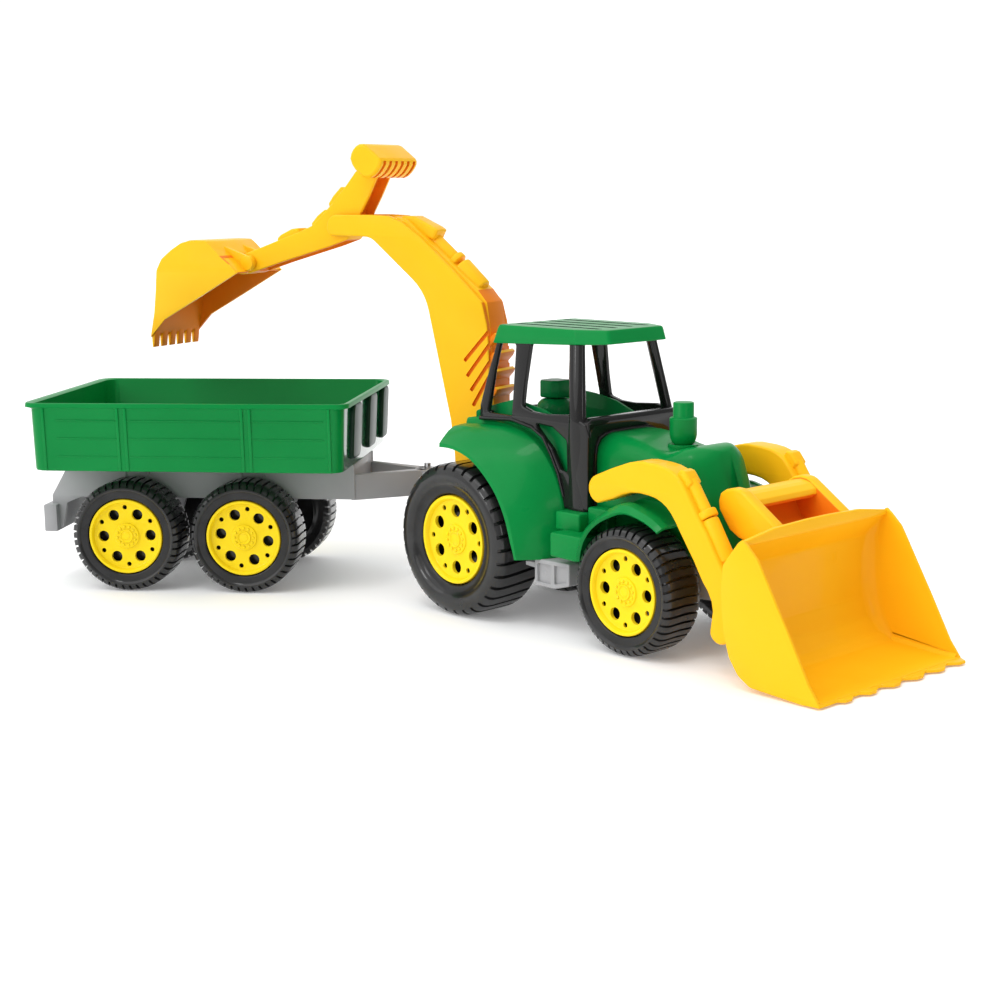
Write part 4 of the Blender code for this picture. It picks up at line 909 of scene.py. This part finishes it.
# Painted shade: faces looking into the two pockets, and the dipper's underside, get the orange painted-shade material.
hollow_faces(arm_d, (UNDER, BEHIND), -11.6, 11.6)
mark(arm_d, lambda c, n: n.z < -0.75 and c.x > -300)
pads = [plate(rounded([(-262, 362), (-262, 373), (-257, 377.0), (-243, 383.2), (-233, 384.4), (-229, 372)], 2.0), -9, 9, 1.8, 3),
        plate(rounded([(-214, 380), (-215, 389.4), (-207, 397.6), (-197, 404.4), (-188, 396)], 2.0), -9.5, 9.5, 1.4, 3),
        plate(rounded([(-189, 400), (-192, 410.4), (-186, 418.4), (-175, 428.6), (-166, 421)], 2.0), -9.5, 9.5, 1.4, 3)]
GRIP = [(-145, 457), (-143.6, 462.2), (-141, 466.4), (-137.4, 469.8), (-133, 471.8), (-128.6, 471.8), (-124.6, 470.2), (-108, 457.2), (-106.2, 454.2), (-106.6, 450.4),
        (-109.4, 446), (-113, 442), (-117, 438.8), (-121.6, 436.8), (-128, 437.4), (-134.6, 441.7), (-139, 445.6), (-142.6, 450.4)]
grip = plate(rounded(GRIP, 2, 2), -37, 37, 3.0, 4)
FLUTE = rounded([(-130.5, 445.0), (-120.4, 447.6), (-113, 453.0), (-100, 455), (-100, 430), (-134, 430)], 3)
grip = boolean(grip, [plate(FLUTE, -31.0 + 11.6 * k, -26.0 + 11.6 * k, 0) for k in range(6)])
# Painted shade: faces looking into the grip's flutes get the orange painted-shade material.
for k in range(6):
    hollow_faces(grip, (FLUTE,), -31.2 + 11.6 * k, -25.8 + 11.6 * k)
give(joined(arm_d, grip, *pads), "dipper_look", "dipper", (M_YELLOW, M_YELLOW_SHADE), ("dipper",), S, 38)

SC = [(-418.8, 262), (-412, 290), (-408.7, 314), (-406.3, 337.6), (-398.5, 350.3), (-383.8, 360.6), (-369.4, 368.4), (-355.3, 371.6), (-335.7, 370.9), (-328, 364.8),
      (-317, 354.6), (-304, 345.4), (-294, 336), (-350.8, 306.5), (-397, 283)]
SC_IN = [(-424, 240), (-414.8, 264), (-408.8, 290), (-405.6, 314), (-403.0, 336), (-396.4, 347.6), (-382.4, 357.6), (-368.6, 365.2), (-355, 368.4), (-336.6, 367.8), (-330.4, 363),
         (-325, 352), (-270, 352), (-270, 300), (-350, 240)]
scoop = plate(rounded(SC, 0, 4, {3: 10, 4: 14, 5: 16, 6: 16, 7: 14, 8: 8}), -42.5, 42.5, 0)
scoop = boolean(scoop, [plate(rounded(SC_IN, 0, 4, {4: 10, 5: 14, 6: 16, 7: 16, 8: 14, 9: 6}), -39.6, 39.6, 0),
                        plate(arc(-295, 346, 25.6, 0, 345, 24), -15.3, 15.3, 0)])
scoop = bev(scoop, 0.8, 2, 40)
# Painted shade: faces looking into the scoop's inside get the orange painted-shade material.
hollow_faces(scoop, (SC_IN,), -39.7, 39.7)
parts = [scoop]
for k in range(6):
    y = -42.5 + 85 / 6 * (k + 0.5)
    tooth = plate([(-419.6, 268), (-413.6, 270), (-416.4, 250.5), (-418.8, 250)], y - 4.6, y + 4.6, 0.6, 2)
    # Painted shade: the teeth's inner faces get the orange painted-shade material.
    parts.append(mark(tooth, lambda c, n: n.x > 0.3))
parts.append(plate([(-404.4, 338), (-397.4, 349), (-383, 359), (-369, 366.8), (-355, 370), (-355, 366.4), (-368, 363.4), (-381.4, 355.8), (-394.6, 346.2), (-401, 336)], -15.6, -14.2, 0))
parts.append(plate([(-404.4, 338), (-397.4, 349), (-383, 359), (-369, 366.8), (-355, 370), (-355, 366.4), (-368, 363.4), (-381.4, 355.8), (-394.6, 346.2), (-401, 336)], 14.2, 15.6, 0))
for side in (-1, 1):
    a, b = sorted((side * 15.4, side * 21))
    parts.append(plate(rounded([(-336, 369), (-345, 350), (-322, 341)], 1) + arc(-295, 346, 8.6, -110, 100, 12), a, b, 1.0, 2))
    parts.append(rod((-295, side * 20.6, 346), (-295, side * 23.0, 346), 8.2, 32, None, 1.2))
    a, b = sorted((side * 18, side * 41))
    strip = plate(rounded([(-334, 369.2), (-328, 364.6), (-317, 354.4), (-304, 345.2), (-295, 336.8), (-296.6, 335.2), (-306, 343), (-319.5, 351.4), (-330.4, 361.4), (-336, 366.6)], 0.4), a, b, 0.4, 2)
    # Painted shade: all but the upward faces of the strips get the orange painted-shade material.
    parts.append(mark(strip, lambda c, n: n.z < 0.2))
give(joined(*parts), "digger_scoop_look", "digger_scoop", (M_YELLOW, M_YELLOW_SHADE), ("digger_scoop",), S, 38)

# ------------------------------------------------------------------ trailer
FH = 133.65
frame_side = plate(rounded([(X0 + 178, 95), (X0 + 178, FH), (X0 - 141, FH), (X0 - 163, 96), (X0 - 163, 60), (X0 - 152, 60), (X0 - 146, 88),
                            (X0 - 130, 94.6), (X0 - 96, 94), (X0 - 80, 52), (X0 - 50, 52.4), (X0 - 36, 95), (X0 + 36, 94.4), (X0 + 50, 52.8),
                            (X0 + 80, 52.2), (X0 + 96, 95)], 2), -52.5, -47.5, 1.0, 2)
parts = [frame_side, flipped(frame_side), box(X0 - 141, X0 + 177, -50, 50, 129.5, FH - 0.2, 1.0),
         box(X0 - 170, X0 - 155, -62, 62, 57, 87, 1.5), box(X0 + 131.3, X0 + 136.4, -49, 49, 95.7, FH - 0.4, 1.0),
         box(X0 + 171, X0 + 177.2, -49, 49, 95.7, FH - 0.4, 1.0)]
for side in (-1, 1):
    parts.append(plan([(X0 + 174, side * 52.3), (X0 + 174, side * 44), (-8, side * 1), (4, side * 10), (-6, side * 14.5)], 94, 122, 1.0, 2))
    for x in (X0 - 80, X0 - 54, X0 + 50, X0 + 76):
        parts.append(box(x, x + 4, *sorted((side * 47.6, side * 53.4)), 56, 128, 0.8))
parts.append(turned([(4.4, 122), (13.6, 122), (14.8, 121), (14.8, 87), (13.8, 86.5), (4.4, 86.5)], 40, True))
give(joined(*parts), "trailer_frame_look", "trailer", M_GREY, ("trailer_frame",), H)


def bed_ring(ins, z, taper, e=0.0, c=13.0, n=7):
    f, r, w = X0 + 187 - ins - taper - e, X0 - 163 + ins + taper * 0.15 + e * 1.43, 123 - ins - taper
    pts = []
    for cx, cy, a0 in ((f - c, w - c, 0), (r + c, w - c, 90), (r + c, -w + c, 180), (f - c, -w + c, 270)):
        pts += [(cx + c * math.cos(math.radians(a0 + 90 * k / n)), cy + c * math.sin(math.radians(a0 + 90 * k / n)), z) for k in range(n + 1)]
    return pts


E = 4.2
bed = loft([bed_ring(2.0, 134.0, 4.0, E), bed_ring(0.4, 134.6, 4.0, E), bed_ring(0, 136.5, 3.9, E), bed_ring(0, 200.6, 0.9, E), bed_ring(-0.2, 201.6, 0.8, E * 0.5),
            bed_ring(-0.6, 202.4, 0.5), bed_ring(0, 205.6, 0), bed_ring(0.4, 206.8, 0), bed_ring(1.2, 207.2, 0), bed_ring(2.4, 206.8, 0, E * 0.6),
            bed_ring(3.0, 205.6, 0, E), bed_ring(3.0, 139.0, 3.6, E), bed_ring(4.4, 137.4, 3.6, E)])
# Painted shade: the bed's end faces below the rim get the darker, polished green.
mark(bed, lambda c, n: abs(n.x) > 0.95 and abs(c.x - X0 - 15) > 160 and n.x * (c.x - X0 - 15) > 0 and c.z < 203)
give(bed, "trailer_bed_look", "trailer", (M_GREEN, M_GLOSS_SHADE), ("trailer_bed",), H, 40)

ribs = []


def side_bar(x0, x1, z0, z1, proud, bevel):
    """Raised bar on the bed's right-hand side, following the wall's taper."""
    ob = box(x0, x1, -123 - proud, -121.5, z0, z1, bevel, 2)
    for v in ob.data.vertices:
        v.co.y += (0.207 - v.co.z) / 0.073 * 0.004
    return ob


for x in (-140.8, -59.5, -51.0, 74.5, 83.0, 167.0):
    ribs.append(side_bar(X0 + x - 1.6, X0 + x + 1.6, 135.2, 202.0, 0.9, 0.7))
for a, b in ((-133, -57.5), (-54, 76.5), (80, 165)):
    for z in (150.2, 169.6, 188.6):
        ribs.append(side_bar(X0 + a + 6, X0 + b - 4, z - 0.5, z + 0.5, 0.35, 0.3))
ribs = joined(*ribs)
ribs = joined(ribs, flipped(ribs))
ends = []
for y in (-63, 21, 94):
    w = 20.0 if y < 90 else 16.0
    for x, sgn, lean in ((X0 + 187 - E, 1, 0.004), (X0 - 157, -1, 0.0006)):
        ob = cross(rounded([(y - w, 202.0), (y + w, 202.0), (y + w, 143), (y - w, 143)], 9, 6), *sorted((x - sgn * 2.5, x + sgn * 4.6)), 2.2, 3)
        for v in ob.data.vertices:
            v.co.x -= sgn * (0.207 - v.co.z) / 0.073 * lean
        ends.append(ob)
give(ribs, "bed_side_bars", "trailer", M_GREEN, (), H, 40)
# Painted shade: the ribs on the bed's ends are dark green, standing in for the shade on the bed's end faces.
give(joined(*ends), "bed_end_ribs", "trailer", M_SHADE, (), H, 40)

# -------------------------------------------------------- floor, light, view
bm = bmesh.new()
bmesh.ops.create_grid(bm, x_segments=2, y_segments=2, size=12.0)
floor = put(bm, "studio_floor")
fm = bpy.data.materials.new("pale_floor")
fm.use_nodes = True
fb = fm.node_tree.nodes["Principled BSDF"]
fb.inputs["Base Color"].default_value = (0.93, 0.93, 0.93, 1)
fb.inputs["Roughness"].default_value = 0.6
fb.inputs["Specular IOR Level"].default_value = 0.2
fb.inputs["Emission Color"].default_value = (1, 1, 1, 1)
fb.inputs["Emission Strength"].default_value = 0.14
floor.data.materials.append(fm)
floor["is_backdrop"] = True

world = bpy.data.worlds.new("studio")
bpy.context.scene.world = world
world.use_nodes = True
wt = world.node_tree
sky = wt.nodes["Background"]
sky.inputs["Color"].default_value = (1, 1, 1, 1)
gaze = wt.nodes.new("ShaderNodeTexCoord")
wall = wt.nodes.new("ShaderNodeVectorMath")
wall.operation = 'DOT_PRODUCT'
wall.inputs[1].default_value = (-0.7316, 0.6817, 0.0)
wt.links.new(gaze.outputs["Generated"], wall.inputs[0])
bright = wt.nodes.new("ShaderNodeMapRange")
bright.inputs["From Min"].default_value = 0.62
bright.inputs["From Max"].default_value = 0.84
bright.inputs["To Min"].default_value = 0.2
bright.inputs["To Max"].default_value = 1.06
wt.links.new(wall.outputs["Value"], bright.inputs["Value"])
flank = wt.nodes.new("ShaderNodeVectorMath")
flank.operation = 'DOT_PRODUCT'
flank.inputs[1].default_value = (0.6817, 0.7316, 0.0)
wt.links.new(gaze.outputs["Generated"], flank.inputs[0])
fade = wt.nodes.new("ShaderNodeMapRange")
fade.inputs["From Min"].default_value = -0.8
fade.inputs["From Max"].default_value = 0.9
fade.inputs["To Min"].default_value = 1.05
fade.inputs["To Max"].default_value = 0.42
wt.links.new(flank.outputs["Value"], fade.inputs["Value"])
most = wt.nodes.new("ShaderNodeMath")
most.operation = 'MAXIMUM'
wt.links.new(bright.outputs["Result"], most.inputs[0])
wt.links.new(fade.outputs["Result"], most.inputs[1])
front = wt.nodes.new("ShaderNodeVectorMath")
front.operation = 'DOT_PRODUCT'
front.inputs[1].default_value = (0.72, -0.67, 0.18)
wt.links.new(gaze.outputs["Generated"], front.inputs[0])
flag = wt.nodes.new("ShaderNodeMapRange")
flag.inputs["From Min"].default_value = 0.35
flag.inputs["From Max"].default_value = 0.9
flag.inputs["To Min"].default_value = 1.0
flag.inputs["To Max"].default_value = 0.6
wt.links.new(front.outputs["Value"], flag.inputs["Value"])
level = wt.nodes.new("ShaderNodeMath")
level.operation = 'MULTIPLY'
wt.links.new(most.outputs["Value"], level.inputs[0])
wt.links.new(flag.outputs["Result"], level.inputs[1])
wt.links.new(level.outputs["Value"], sky.inputs["Strength"])


def sun(name, towards, strength, angle):
    """Broad, soft light from a fixed direction."""
    li = bpy.data.lights.new(name, 'SUN')
    li.energy = strength
    li.angle = math.radians(angle)
    ob = bpy.data.objects.new(name, li)
    bpy.context.scene.collection.objects.link(ob)
    ob.rotation_euler = (-Vector(towards)).to_track_quat('-Z', 'Y').to_euler()
    return ob


sun("overhead", (-0.15, 0.10, 1.0), 1.25, 90)
sun("glint_top", (0.126, -0.348, 0.925), 0.28, 12)
sun("key", (-0.1, -0.80, 0.62), 0.8, 60)
sun("glint_left", (-0.161, -0.913, 0.375), 0.2, 12)
sun("glint_right", (0.902, -0.346, 0.259), 0.1, 12)

YAW, PITCH_DOWN, ROLL, FOCAL = 47.0255, 10.1973, -0.5841, 1724.9077
a, e, r = math.radians(YAW), math.radians(PITCH_DOWN), math.radians(ROLL)
right = Vector((math.cos(a), math.sin(a), 0))
fwd = Vector((-math.sin(a) * math.cos(e), math.cos(a) * math.cos(e), -math.sin(e)))
up = right.cross(fwd)
right2 = right * math.cos(r) + up * math.sin(r)
up2 = -right * math.sin(r) + up * math.cos(r)
cam = bpy.data.cameras.new("photo_camera")
cam.sensor_width = 36.0
cam.sensor_fit = 'HORIZONTAL'
cam.lens = FOCAL / 1000.0 * 36.0
cam.clip_end = 60.0
cam_ob = bpy.data.objects.new("photo_camera", cam)
bpy.context.scene.collection.objects.link(cam_ob)
back = -fwd
loc = Vector((1.27628014 + 0.0366, -1.22258441 + 0.12243, 0.42330586))
cam_ob.matrix_world = Matrix(((right2.x, up2.x, back.x, loc.x), (right2.y, up2.y, back.y, loc.y),
                              (right2.z, up2.z, back.z, loc.z), (0, 0, 0, 1)))
bpy.context.scene.camera = cam_ob
bpy.context.scene.view_settings.view_transform = 'Standard'

low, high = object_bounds()
